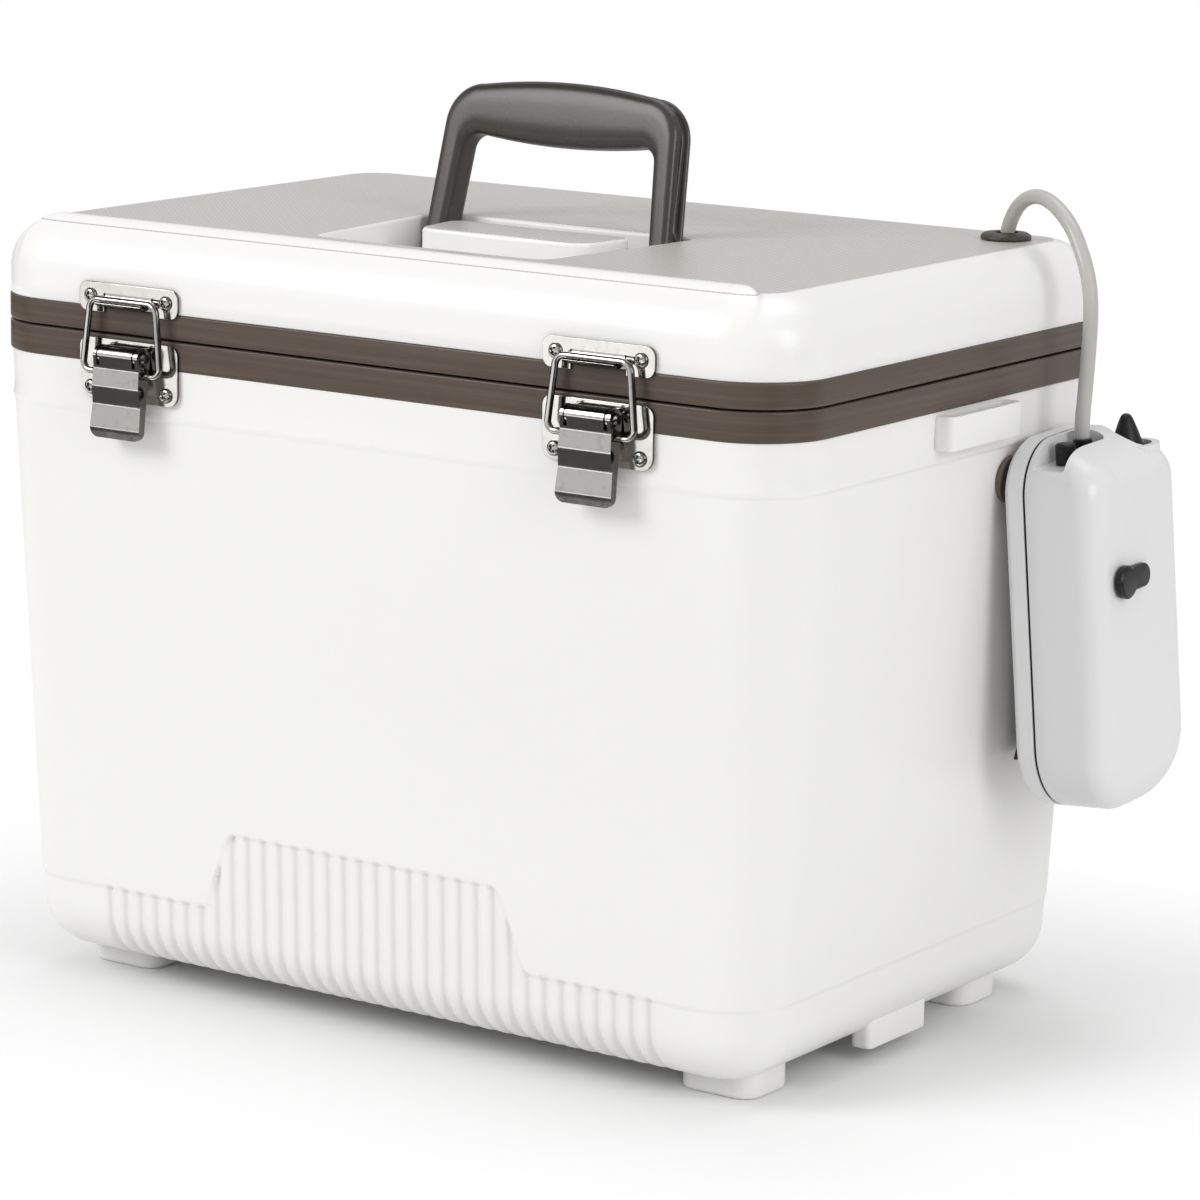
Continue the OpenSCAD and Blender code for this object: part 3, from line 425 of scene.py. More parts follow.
# Slope of the pressed face at its own depths: it leans in, out, in and out, then in at the lip
WAVE_AT = (0, 4.6, 5.8, 11.8, 13, 19, 20.4, 28.6, 30, 33.4)
WAVE_SLOPE = (-0.15, -0.15, 0.12, 0.12, -0.13, -0.13, 0.14, 0.14, -0.22, -0.22)


def press_waves(bm):
    """Cuts the lever's face at many heights and moves its points to a wavy profile, whose slope is given
    at a few depths: the face's reach is the running sum of that slope."""
    depth = np.linspace(0, LEVER_LENGTH, 335)
    face = LEVER_FACE + np.cumsum(np.interp(depth, WAVE_AT, WAVE_SLOPE)) * (depth[1] - depth[0])
    plain = np.interp(depth, PLAIN_AT, PLAIN_FACE)
    for z in np.arange(0.6, LEVER_LENGTH - 0.3, CUT_STEP):
        cut = bm.verts[:] + bm.edges[:] + bm.faces[:]
        bmesh.ops.bisect_plane(bm, geom=cut, dist=1e-7, plane_co=(0, 0, (LEVER_PIVOT_Z - z) * MM),
                               plane_no=(0, 0, 1))
    for v in bm.verts:
        below = LEVER_PIVOT_Z - v.co.z / MM
        reach_out = np.interp(below, depth, plain)
        if below > 0 and -v.co.y / MM > reach_out - 0.15:
            v.co.y -= (np.interp(below, depth, face) - reach_out) * MM


EASED = {"tub_trim": 0.3, "lid_trim": 0.3, "hinge_leaves_tub": 0.4, "hinge_leaves_lid": 0.4,
         "latch_base_left": 0.35, "latch_base_right": 0.35, "latch_keeper_left": 0.35,
         "latch_keeper_right": 0.35, "pump_back_shell": 1.1, "pump_clip": 0.4, "pump_studs": 0.5,
         "pump_outlets": 0.3, "outlet_cap": 0.4, "pump_inlet": 0.3, "switch_slider": 0.6, "lid_grommet": 0.4}
for node, width in EASED.items():
    eased(node, width)
for node in ("latch_lever_left", "latch_lever_right"):
    eased(node, 0.45, shape=press_waves)


# ---- Tub ----
TRIM_W, TRIM_D, SEAM = 390, 258, 274
STEP_Z, COLLAR_Z, BASE_Z, BOTTOM_R = 241, 243, 10.5, 20
SKIRT_Z, SKIRT_STEP, ZONE_TOP = 42, 0.6, 74.5
FLUTES, FLUTE_X0, FLUTE_X1, FLUTE_DEPTH, FLUTE_UNDER = 34, -136, 140.5, 1.6, 12
PITCH = (FLUTE_X1 - FLUTE_X0) / FLUTES


def smooth(low, high, value):
    """0 at low, 1 at high, with the cubic 3t^2 - 2t^3 between them."""
    t = np.clip((value - low) / (high - low), 0, 1)
    return t * t * (3 - 2 * t)


def wall_size(z):
    """Width, depth and corner radius of the tapered wall at height z: all three fall in proportion."""
    k = (STEP_Z - z) / (STEP_Z - BASE_Z)
    return TRIM_W - 3.8 - 23.4 * k, TRIM_D - 2 - 12.7 * k, 31 - 4 * k


def outline(width, depth, radius, front, arc=14, side=12):
    """Points and outward normals of a rounded rectangle at every level, counter-clockwise from the left of
    its front: the front's columns keep the x values they are given, and arcs are cut into equal angles."""
    w, d, r = (np.atleast_1d(np.asarray(v, float))[:, None] for v in (width, depth, radius))
    x, y = w / 2 - r, d / 2 - r
    end = abs(front).max()
    share = np.linspace(0, 1, 5)[None, 1:]
    right_end = end + (x - end) * share
    columns = [(np.hstack([-right_end[:, ::-1], np.broadcast_to(front, (len(w), len(front))), right_end]),
                -d / 2, 0, -1)]
    a = np.radians(np.linspace(-90, 0, arc + 1))[None, 1:-1]
    run = np.linspace(-1, 1, side + 1)[None]
    for turn, (far, near) in enumerate([(x, y), (y, x), (x, y), (y, x)]):
        c, s = round(math.cos(turn * math.pi / 2)), round(math.sin(turn * math.pi / 2))
        edge = (w if turn % 2 == 0 else d) / 2
        for px, py, nx, ny in [(far + r * np.cos(a), -near + r * np.sin(a), np.cos(a), np.sin(a)),
                               (edge, near * run, 1, 0)][:1 if turn == 3 else 2]:
            columns.append((c * px - s * py, s * px + c * py, c * nx - s * ny, s * nx + c * ny))
    parts = [np.stack(np.broadcast_arrays(*part, part[0] + part[1])[:4], -1) for part in columns]
    points = np.concatenate(parts, axis=1)
    return points[..., :2], points[..., 2:]


def zone_top(x):
    """Upper edge of the fluted zone: low at both ends, raised between two slanted shoulders."""
    left = smooth(-82, -65.5, x) ** 0.8
    right = 1 - smooth(61, 80, x) ** 1.3
    return SKIRT_Z + (ZONE_TOP - SKIRT_Z) * np.minimum(left, right)


def flute(x):
    """Depth of the flutes at x, 0 on a crest and 1 in a valley, with soft flanks between."""
    phase = ((x - FLUTE_X0) / PITCH) % 1
    inside = smooth(FLUTE_X0 - 0.3, FLUTE_X0 + 0.8, x) * (1 - smooth(FLUTE_X1 - 0.8, FLUTE_X1 + 0.3, x))
    return (1 - smooth(0.06, 0.30, abs(phase - 0.5))) * inside


def tub_levels():
    """The tub's profile from under the trim to the underside: height, inset, and the angle of its normal
    below the horizontal. The collar ends in a quarter round at the step, the wall tapers, the bottom edge
    is a quarter circle, and the underside is flat."""
    collar = np.array([263, 261.9, 255, 248, 244, 243, 242.4, 241.9, 241.5, 241.2, 241.05])
    wall = np.concatenate([[240.9, 240, 236], np.linspace(228, 84, 12), np.linspace(80, BASE_Z + BOTTOM_R, 56)])
    turn = np.radians(np.linspace(0, 90, 19))[1:]
    under = np.array([2, 4, 6, 8, 9.5, 10.5, 11.2, 12, 13, 20, 40, 70, 95])
    z = np.concatenate([collar, wall, BASE_Z + BOTTOM_R * (1 - np.sin(turn)), np.full(len(under), BASE_Z)])
    inset = np.concatenate([0 * collar, 0 * wall, BOTTOM_R * (1 - np.cos(turn)), BOTTOM_R + under])
    tilt = np.concatenate([0 * collar, 0 * wall, turn, np.full(len(under), np.pi / 2)])
    return z, inset, tilt


def tub_skin():
    """The tub's outer wall as one surface. A point of the profile's outline is moved in by the skirt's
    step, and along its normal by the flute's depth where the fluted zone covers it. The inner wall is the
    same outline, 3.5 mm further in, and both meet at the rim."""
    front = FLUTE_X0 + PITCH * np.arange(-9, 9 * FLUTES + 6) / 9
    z, inset, tilt = tub_levels()
    w, d, r = wall_size(np.maximum(z, BASE_Z))
    grow = np.clip((z - COLLAR_Z) / (SEAM - 12.2 - COLLAR_Z), 0, 1)
    edge = np.sqrt(np.clip(1 - ((COLLAR_Z - z) / 2) ** 2, 0, 1)) * (z > STEP_Z)
    w = np.where(z > STEP_Z, 386.2 + 1.6 * edge + 1.6 * grow, w)
    d = np.where(z > STEP_Z, 256 + 0.6 * edge + 1.0 * grow, d)
    xy, normal = outline(w - 2 * inset, d - 2 * inset, np.maximum(r - inset, 1), front)
    height = z[:, None] + 0 * xy[..., 0]
    x = xy[..., 0]
    zone = 1 - smooth(-0.5, 0.7, height - zone_top(x))
    faces_front = (normal[..., 1] < -0.99) & (x > FLUTE_X0 - 0.5) & (x < FLUTE_X1 + 0.5)
    zone = np.where(faces_front, zone, 0)
    low = 1 - smooth(SKIRT_Z - 0.5, SKIRT_Z + 0.5, height)
    recess = SKIRT_STEP * np.maximum(low, zone)
    start = -(d[:, None] / 2 - BOTTOM_R)
    fade = np.where(z[:, None] <= BASE_Z + 0.01, 1 - smooth(-1.2, 0.8, xy[..., 1] - start[-1] - FLUTE_UNDER), 1)
    cut = FLUTE_DEPTH * flute(x) * zone * fade
    across = np.cos(tilt)[:, None] * cut + recess * np.cos(tilt)[:, None]
    points = np.dstack([xy - normal * across[..., None], height + np.sin(tilt)[:, None] * cut])
    inner_z = np.array([BASE_Z + 3.5, BASE_Z + 3.5, BASE_Z + 5, BASE_Z + 12, BASE_Z + 20, 120, 240, 263])
    inner_inset = np.array([90, 24, 15, 6, 4, 4, 4, 4])
    wi, di, ri = wall_size(np.minimum(inner_z, STEP_Z))
    inner, _ = outline(wi - 2 * inner_inset, di - 2 * inner_inset, np.maximum(ri - inner_inset, 1), front)
    inner = np.dstack([inner, np.broadcast_to(inner_z[:, None], inner.shape[:2])])
    middle = [np.broadcast_to([0.0, 0.0, h], points[:1].shape) for h in (BASE_Z, BASE_Z + 3.5)]
    rings = np.concatenate([points, middle[0], middle[1], inner, points[:1]])
    skin = add_piece("tub_skin", rings * MM, quads(len(rings), rings.shape[1]), "white_shell", None)
    merged(skin, 2e-6)
    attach(skin, "chest")
    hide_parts("tub_shell")


def soft_block(name, center, size, z0, z1, edge, slot, body, draft=0.0, hollow=None):
    """A block with rounded corners and soft edges. Its rings run from the middle of the underside, round a
    quarter circle at the lower edge, up the sides and over the upper edge, back to the middle; with a
    hollow they run down the hollow's own outline instead and join up."""
    w, d, r = size
    turn = np.radians(np.linspace(90, 0, 7))
    inset = np.concatenate([edge * (1 - np.cos(turn)), edge * (1 - np.cos(turn[::-1])) + draft])
    z = np.concatenate([z0 + edge * (1 - np.sin(turn)), z1 - edge * (1 - np.sin(turn[::-1]))])
    few = np.linspace(-0.2, 0.2, 3) * (w - 2 * r)
    xy, _ = outline(w - 2 * inset, d - 2 * inset, np.maximum(r - inset, 0.4), few, arc=8, side=2)
    rings = np.dstack([xy, np.broadcast_to(z[:, None], xy.shape[:2])])
    if hollow:
        hw, hd, hr, hx, hy = hollow
        grown = inset[::-1]
        inner, _ = outline(hw + 2 * grown, hd + 2 * grown, hr + grown, few * hw / w, arc=8, side=2)
        inner = np.dstack([inner + [hx, hy], np.broadcast_to(z[::-1, None], inner.shape[:2])])
        rings = np.concatenate([rings, inner, rings[:1]])
    else:
        ends = [np.broadcast_to([0.0, 0.0, h], rings[:1].shape) for h in (z0, z1)]
        rings = np.concatenate([ends[0], rings, ends[1]])
    rings = rings + [center[0], center[1], 0]
    piece = add_piece(name, rings * MM, quads(len(rings), rings.shape[1]), slot, None)
    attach(merged(piece), body)
    return piece


tub_skin()
for i, (x, y) in enumerate([(-1, -1), (1, -1), (-1, 1), (1, 1)]):
    soft_block(f"foot_{i + 1}", (x * 148.9, y * 80.1), (35, 30, 8), 0, BASE_Z + 4, 1.8, "white_shell", "chest")
for i, x in enumerate((-1, 1)):
    soft_block(f"side_pad_{i + 1}", (x * 172, -3.5), (10, 43, 3), BASE_Z - 4.5, BASE_Z + 8, 1.2,
               "white_shell", "chest")
    soft_block(f"strap_lug_{i + 1}", (x * 196.9, 9), (10.4, 54, 3.5), 247, 260.5, 0.8, "white_shell", "chest",
               hollow=(5, 42, 1, x * 0.1, 0))


# ---- Lid ----
LID_SIZE = (389.2, 257.2, 31.6)
LID_TOP, LID_LOW, RECESS_Z, SHOULDER, RIM_RISE = 315.2, 284.5, 297, 20, 2.8
RIM_Y, RIM_X, RIM_R = -106, 178, 17
MIDDLE_OF_RAYS = np.array([0.0, -21.0])
LID_EDGE = [[194.6, 128.6, 31.6], [194.6, -128.6, 31.6]]
RECESS = [[65, 10, 6], [59.5, -48, 60], [56, -85, 9]]
ISLAND = [[45, -6, 5], [41, -36.5, 8]]
# Inset and height of the rings up the inner wall, from the lid's lower edge to under its top
INNER_WALL = [(3.1, LID_LOW), (3.1, 275.4), (6.6, 275.4), (6.6, 294), (8.5, 303), (14, 309), (22, 311.6)]


def rounded(right, steps=8, inset=0.0):
    """A closed outline, the same left and right, whose corners x, y, radius are arcs; inset moves it in."""
    right = [[x - inset, y - math.copysign(inset, y), max(r - inset, 0.5)] for x, y, r in right]
    corners = right + [[-x, y, r] for x, y, r in right[::-1]]
    arcs = []
    for i, (x, y, r) in enumerate(corners):
        q = np.array([x, y], float)
        ways = [np.array(corners[j % len(corners)][:2]) - q for j in (i - 1, i + 1)]
        u, v = (w / np.linalg.norm(w) for w in ways)
        half = math.acos(u @ v) / 2
        center = q + (u + v) / np.linalg.norm(u + v) * r / math.sin(half)
        ends = [q + w * r / math.tan(half) - center for w in (u, v)]
        a, b = (math.atan2(e[1], e[0]) for e in ends)
        t = a + ((b - a + math.pi) % math.tau - math.pi) * np.linspace(0, 1, steps + 1)
        arcs.append(center + r * np.stack([np.cos(t), np.sin(t)], 1))
    return np.concatenate(arcs)


def spread(outline, step):
    """The closed outline with points added along its straight stretches, at most step apart."""
    loop = np.vstack([outline, outline[:1]])
    run = np.concatenate([[0], np.cumsum(np.linalg.norm(np.diff(loop, axis=0), axis=1))])
    at = np.union1d(run, np.arange(0, run[-1], step))[:-1]
    return np.stack([np.interp(at, run, loop[:, k]) for k in (0, 1)], 1)


def reach(outline, angles):
    """How far a ray in each direction runs from the middle to the outline: it crosses the side between the
    two corners whose own directions lie on either side of it."""
    rel = outline - MIDDLE_OF_RAYS
    turn = np.arctan2(rel[:, 1], rel[:, 0])
    order = np.argsort(turn)
    rel, turn = rel[order], turn[order]
    k = np.searchsorted(turn, angles)
    p, q = rel[(k - 1) % len(rel)], rel[k % len(rel)]
    e = q - p
    return (p[:, 0] * e[:, 1] - p[:, 1] * e[:, 0]) / (np.cos(angles) * e[:, 1] - np.sin(angles) * e[:, 0])


def outside(x, y, w, d, r):
    """Distance from a rounded rectangle's outline, below 0 inside it."""
    qx, qy = abs(x) - (w / 2 - r), abs(y) - (d / 2 - r)
    return np.hypot(np.maximum(qx, 0), np.maximum(qy, 0)) + np.minimum(np.maximum(qx, qy), 0) - r


def lid_height(x, y):
    """The lid's outer face: flat, and a quarter round down to the edge. The front rim has the same form,
    higher and with a wider round. A cubic step leads up to it, and turns down over the shoulder at its ends."""
    inward = np.maximum(-outside(x, y, *LID_SIZE), 0)

    def dome(top, r):
        return top - r + np.sqrt(np.maximum(r * r - (r - np.minimum(inward, r)) ** 2, 0))

    step = 1 - smooth(-2.8, 0.4, outside(x, y - RIM_Y + 200, 2 * RIM_X, 400, RIM_R))
    low, high = dome(LID_TOP, SHOULDER), dome(LID_TOP + RIM_RISE, SHOULDER + 2)
    return low + (high - low) * step


def lid_skin():
    """The lid as one closed surface on rays from the island's middle. Along each ray the rings run over the
    island, down to the recess floor and up its wall, over the panel with rings close together at the rim's
    step, round the shoulder, down the side, in under the edge, and back through the inner wall."""
    edge = rounded(LID_EDGE, 12)
    outlines = [spread(edge, 5), spread(rounded(RECESS, 8), 7), spread(rounded(ISLAND, 6), 7)]
    rel = np.concatenate(outlines) - MIDDLE_OF_RAYS
    ends = np.radians(np.linspace(-31, -25, 40))
    rays = np.concatenate([np.arctan2(rel[:, 1], rel[:, 0]), ends, -np.pi - ends])
    rays = np.unique(np.round(rays, 3))
    island, recess = reach(rounded(ISLAND, 6), rays), reach(rounded(RECESS, 8), rays)
    level = np.ones(len(rays))
    quarter = np.radians(np.linspace(0, 90, 6))
    top_edge, foot = 1.8, 2.2
    rings = [(0 * level, LID_TOP * level), ((island - top_edge) * 0.5, LID_TOP * level)]
    rings += [(island - top_edge * (1 - math.sin(a)), (LID_TOP - top_edge * (1 - math.cos(a))) * level)
              for a in quarter]
    rings += [(island + foot * (1 - math.cos(a)), (RECESS_Z + foot * (1 - math.sin(a))) * level)
              for a in quarter]
    rings += [(recess - foot * (1 - math.sin(a)), (RECESS_Z + foot * (1 - math.cos(a))) * level)
              for a in quarter]
    rings += [(recess + top_edge * (1 - math.cos(a)), (LID_TOP - top_edge * (1 - math.sin(a))) * level)
              for a in quarter]
    inner = recess + top_edge
    outer = reach(rounded(LID_EDGE, 12, inset=SHOULDER + 2), rays)
    panel = reach(rounded([[RIM_X, 300, 5], [RIM_X, RIM_Y, 2]], 10), rays)
    even = inner + (outer - inner) * np.linspace(0.04, 0.97, 16)[:, None]
    near = np.clip(panel + np.array([-3, -1, -0.4, 0, 0.5, 1, 1.5, 2, 2.5, 3, 4.5])[:, None], inner + 1, outer)
    psi = np.radians(np.linspace(88, 0, 18))
    shoulder = [reach(rounded(LID_EDGE, 12, inset=(SHOULDER + 2) * (1 - math.cos(a))), rays) for a in psi[:-1]]
    top = np.sort(np.concatenate([even, near, shoulder]), axis=0)
    cos, sin = np.cos(rays), np.sin(rays)
    rings += [(r, lid_height(r * cos, r * sin + MIDDLE_OF_RAYS[1])) for r in top]
    rim = reach(edge, rays)
    start = lid_height(rim * cos, rim * sin + MIDDLE_OF_RAYS[1])
    rings += [(rim, start), (rim, 0 * level + 290)]
    rings += [(rim, 0 * level + LID_LOW + 0.4), (rim - 0.4, 0 * level + LID_LOW)]
    rings += [(reach(rounded(LID_EDGE, 12, inset=i), rays), z * level) for i, z in INNER_WALL]
    rings += [(recess + 2.6, 311.6 * level), (recess + 2.6, 294.4 * level), (0 * level, 294.4 * level)]
    r, z = (np.array([ring[k] for ring in rings]) for k in (0, 1))
    points = np.stack([r * cos, r * sin + MIDDLE_OF_RAYS[1], z], -1)
    skin = add_piece("lid_skin", points * MM, quads(len(rings), len(rays)), "white_shell", None)
    merged(skin, 2e-6)
    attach(skin, "lid")
    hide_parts("lid_shell")


lid_skin()


# ---- Handle ----
HANDLE_PIVOT, HANDLE_LEAN, HANDLE_HALF = 306, 12, 7


def arch(foot, corner, radius, bow, low):
    """An arch in the handle's plane: up the leg from low below the pivot, round the corner, and along the
    top, which bows up by a parabola; the right half is the left one mirrored."""
    q = np.array(corner, float)
    u = np.array([foot, 0.0]) - q
    u /= np.linalg.norm(u)
    v = np.array([-1.0, 0.0])
    half = math.acos(u @ v) / 2
    center = q + (u + v) / np.linalg.norm(u + v) * radius / math.sin(half)
    start, end = q + u * radius / math.tan(half), q + v * radius / math.tan(half)
    height = np.concatenate([-low * np.cos(np.radians(np.linspace(0, 80, 9))), np.linspace(0, start[1], 12)[:-1]])
    leg = np.stack([foot + (start[0] - foot) * np.maximum(height, 0) / start[1], height], 1)
    a, b = (math.atan2(*(e - center)[::-1]) for e in (start, end))
    t = np.linspace(a, b, 12)
    turn = center + radius * np.stack([np.cos(t), np.sin(t)], 1)
    x = np.linspace(end[0], 0, 14)[1:]
    top = np.stack([x, q[1] + bow * (1 - (x / end[0]) ** 2)], 1)
    side = np.concatenate([leg, turn, top])
    return np.concatenate([side, (side * [-1, 1])[-2::-1]])


def handle_grip():
    """The handle between two arches. Its section is a superellipse of power 3.6 between them, and a
    groove runs along the outer side, four millimetres deep, from above the hubs."""
    outer = arch(60.7, (56.6, 65), 17, 3, HANDLE_HALF)
    inner = arch(50.5, (46.6, 44), 7, -2.6, HANDLE_HALF)
    a = np.radians(np.arange(0, 360, 3.0))
    power = 2 / 3.6
    across = np.sign(np.cos(a)) * abs(np.cos(a)) ** power
    depth = np.sign(np.sin(a)) * abs(np.sin(a)) ** power
    height = outer[:, 1:2]
    thick = np.sqrt(np.maximum(HANDLE_HALF ** 2 - np.minimum(height, 0) ** 2, 0))
    y = depth[None] * thick
    middle, half = (outer + inner) / 2, (outer - inner) / 2
    size = np.linalg.norm(half, axis=1)[:, None]
    groove = 4 * smooth(7, 11, height) * (1 - smooth(2.5, 3.3, abs(y))) * (across > 0)
    offset = across[None] * size - groove
    flat = middle[:, None] + (half / size)[:, None] * offset[..., None]
    c, s = math.cos(math.radians(HANDLE_LEAN)), math.sin(math.radians(HANDLE_LEAN))
    x, h = flat[..., 0], flat[..., 1]
    points = np.stack([x, y * c + h * s, HANDLE_PIVOT + h * c - y * s], -1)
    caps = [np.broadcast_to(points[i].mean(axis=0), points[:1].shape) for i in (0, -1)]
    rows = np.concatenate([caps[0], points, caps[1]])
    grip = add_piece("handle_grip", rows * MM, quads(len(rows), len(a)), "handle_dark", None)
    merged(grip)
    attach(grip, "handle")
    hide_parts("handle")


handle_grip()


# ---- Latches ----
LATCH_X, TRIM_FACE, BAIL_LOW, BAIL_RISE, WIRE_D = 114, -129, 259.5, 28.8, 2.8


def bail_wire(side):
    """A latch's wire, replaced by a smooth one: its outline in its own plane, round at the corners, leaned
    back against the lid and swept with a round section."""
    path = np.concatenate([[[9.8, 0]], rounded([[20, 0, 3.4], [16.8, BAIL_RISE, 4.4]], 10), [[-9.8, 0]]])
    lean = math.atan2(1.1, BAIL_RISE)
    x, rise = path.T
    forward, up = rise * math.sin(lean), rise * math.cos(lean)
    route = np.stack([side * LATCH_X + x, TRIM_FACE - 5.6 + forward, BAIL_LOW + up], 1)
    name = "left" if side < 0 else "right"
    wire = add_piece("bail_wire_" + name, *swept(route * MM, WIRE_D / 2 * MM, 20), "latch_steel", None)
    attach(merged(wire), "latch_bail_" + name)
    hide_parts("latch_bail_" + name)


def cross_head(radius, height):
    """A pan head's face as rings of points: a flattened dome with a cross of two slots sunk in its middle."""
    ring = np.concatenate([np.linspace(0, 0.62, 12), np.linspace(0.68, 1, 7)])[:, None] * radius
    a = np.arange(64) * np.pi / 32
    x, y = ring * np.cos(a), ring * np.sin(a)
    dome = height * (1 - (ring / radius) ** 3.2) ** 0.5 + 0 * a
    arm, across = np.maximum(abs(x), abs(y)), np.minimum(abs(x), abs(y))
    slot = (1 - smooth(0.12 * radius, 0.2 * radius, across)) * (1 - smooth(0.46 * radius, 0.56 * radius, arm))
    return np.stack([x, y, dome - 0.6 * height * slot], -1)


def screw_heads(name, node, spots, body):
    """Pan heads on the front plates, in place of the plain ones: each face, closed behind by a flat disc."""
    face = cross_head(3.1, 1.6)
    foot = np.stack([face[-1, :, 0], face[-1, :, 1], 0 * face[-1, :, 2] - 0.4], -1)
    rows = np.concatenate([face, [foot], [foot * [0, 0, 1]]])
    points, faces = [], []
    for k, (x, z, turn) in enumerate(spots):
        c, s = math.cos(turn), math.sin(turn)
        at = np.stack([x + rows[..., 0] * c - rows[..., 1] * s, TRIM_FACE - 1.2 - rows[..., 2],
                       z + rows[..., 0] * s + rows[..., 1] * c], -1)
        points.append(at.reshape(-1, 3))
        faces.append(quads(len(rows), rows.shape[1]) + k * len(points[0]))
    piece = add_piece(name, np.concatenate(points) * MM, np.concatenate(faces), "screw_steel", None)
    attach(merged(piece), body)
    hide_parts(node)


for side in (-1, 1):
    bail_wire(side)
TURNS = (0.3, 1.1, 0.7, 0.1)
BASE_SPOTS = [(s * LATCH_X + x, 251.9) for s in (-1, 1) for x in (-19.5, 19.5)]
KEEPER_SPOTS = [(s * LATCH_X + x, 288.9) for s in (-1, 1) for x in (-19.4, 19.4)]
screw_heads("base_screw_heads", "latch_base_screws", [(*p, t) for p, t in zip(BASE_SPOTS, TURNS)], "chest")
screw_heads("keeper_screw_heads", "latch_keeper_screws",
            [(*p, t) for p, t in zip(KEEPER_SPOTS, TURNS[::-1])], "lid")


# ---- Pump case ----
PUMP_AT = np.array([201, 66.5, 170])
PUMP_TURN = Matrix.Rotation(math.radians(-4), 3, "Y") @ Matrix.Rotation(math.radians(2), 3, "X")
CASE_W, CASE_H, CASE_TOP_R, CASE_FOOT_R, SEAM_X, FACE_X = 71, 150, 22, 28, 10, 41
SWITCH_AT, PLATE_AT = (-11, 19), (-9.0, 19.0)


def pump_space(points):
    """Points of the pump's own frame, in millimetres, brought to the chest's frame."""
    return np.asarray(points) @ np.array(PUMP_TURN).T + PUMP_AT


def case_outline():
    """The case from the front: points y, z and outward normals, with round shoulders and rounder feet."""
    w, h = CASE_W / 2, CASE_H / 2
    points, normals = [], []
    for y, z, r, a0 in [(1, 1, CASE_TOP_R, 0), (-1, 1, CASE_TOP_R, 90), (-1, -1, CASE_FOOT_R, 180),
                        (1, -1, CASE_FOOT_R, 270)]:
        a = np.radians(a0 + np.linspace(0, 90, 17))
        n = np.stack([np.cos(a), np.sin(a)], 1)
        points.append(np.array([y * (w - r), z * (h - r)]) + r * n)
        normals.append(n)
    points, normals = np.concatenate(points), np.concatenate(normals)
    loop = np.vstack([points, points[:1]])
    turn = np.vstack([normals, normals[:1]])
    run = np.concatenate([[0], np.cumsum(np.linalg.norm(np.diff(loop, axis=0), axis=1))])
    at = np.union1d(run, np.arange(0, run[-1], 4))[:-1]
    n = np.stack([np.interp(at, run, turn[:, k]) for k in (0, 1)], 1)
    return np.stack([np.interp(at, run, loop[:, k]) for k in (0, 1)], 1), n


def case_front():
    """The front half of the case. From its seam the wall runs forward along the outline, then over an edge
    whose section is a superellipse: how deep it reaches in, how far back it starts and its power all turn
    with the outline's normal, from a small round at the sides to a long slope at the top."""
    yz, n = case_outline()
    side, top, foot = n[:, 0] ** 2, np.maximum(n[:, 1], 0) ** 2, np.maximum(-n[:, 1], 0) ** 2
    deep = side * 10 + top * 18 + foot * 15
    back = side * 10 + top * 23 + foot * 12
    power = side * 2.0 + top * 1.5 + foot * 1.7
    rows = [np.broadcast_to([SEAM_X, 0, 0], (len(yz), 3))]
    for x, inset in [(SEAM_X, 3.0), (SEAM_X, 0.5), (SEAM_X + 0.15, 0.15), (SEAM_X + 0.5, 0)]:
        rows.append(np.column_stack([np.full(len(yz), float(x)), yz - n * inset]))
    for t in np.linspace(0.3, 0.95, 5):
        rows.append(np.column_stack([SEAM_X + (FACE_X - back - SEAM_X) * t, yz]))
    for a in np.radians(np.linspace(0, 90, 20)):
        share, rise = 1 - math.cos(a) ** (2 / power), math.sin(a) ** (2 / power)
        rows.append(np.column_stack([FACE_X - back * (1 - rise), yz - n * (deep * share)[:, None]]))
    rows.append(np.broadcast_to([FACE_X, 0, 2.0], (len(yz), 3)))
    return np.array(rows), len(yz)


def cutter(points, faces):
    """A closed shape that is cut away from the case."""
    mesh = bpy.data.meshes.new("cutter")
    mesh.from_pydata((pump_space(np.reshape(points, (-1, 3))) * MM).tolist(), [], faces.tolist())
    tool = bpy.data.objects.new("cutter", mesh)
    bpy.context.scene.collection.objects.link(tool)
    return merged(tool)


def pocket(center, size, z0, z1, edge=1.2):
    """A round-cornered pocket, open above: rings from the middle of its floor, over a small fillet, up its
    wall and out at the mouth, where it widens by the same fillet."""
    w, d, r = size
    turn = np.radians(np.linspace(0, 90, 5))
    inset = np.concatenate([edge * (1 - np.sin(turn)), [0]])
    z = np.concatenate([z0 + edge * (1 - np.cos(turn)), [z1]])
    few = np.linspace(-0.2, 0.2, 3) * (w - 2 * r)
    xy, _ = outline(w - 2 * inset, d - 2 * inset, np.maximum(r - inset, 0.4), few, arc=10, side=2)
    rings = np.dstack([xy, np.broadcast_to(z[:, None], xy.shape[:2])])
    ends = [np.broadcast_to([0.0, 0.0, h], rings[:1].shape) for h in (z0, z1)]
    rings = np.concatenate([ends[0], rings, ends[1]]) + [center[0], center[1], 0]
    return rings, quads(len(rings), rings.shape[1])


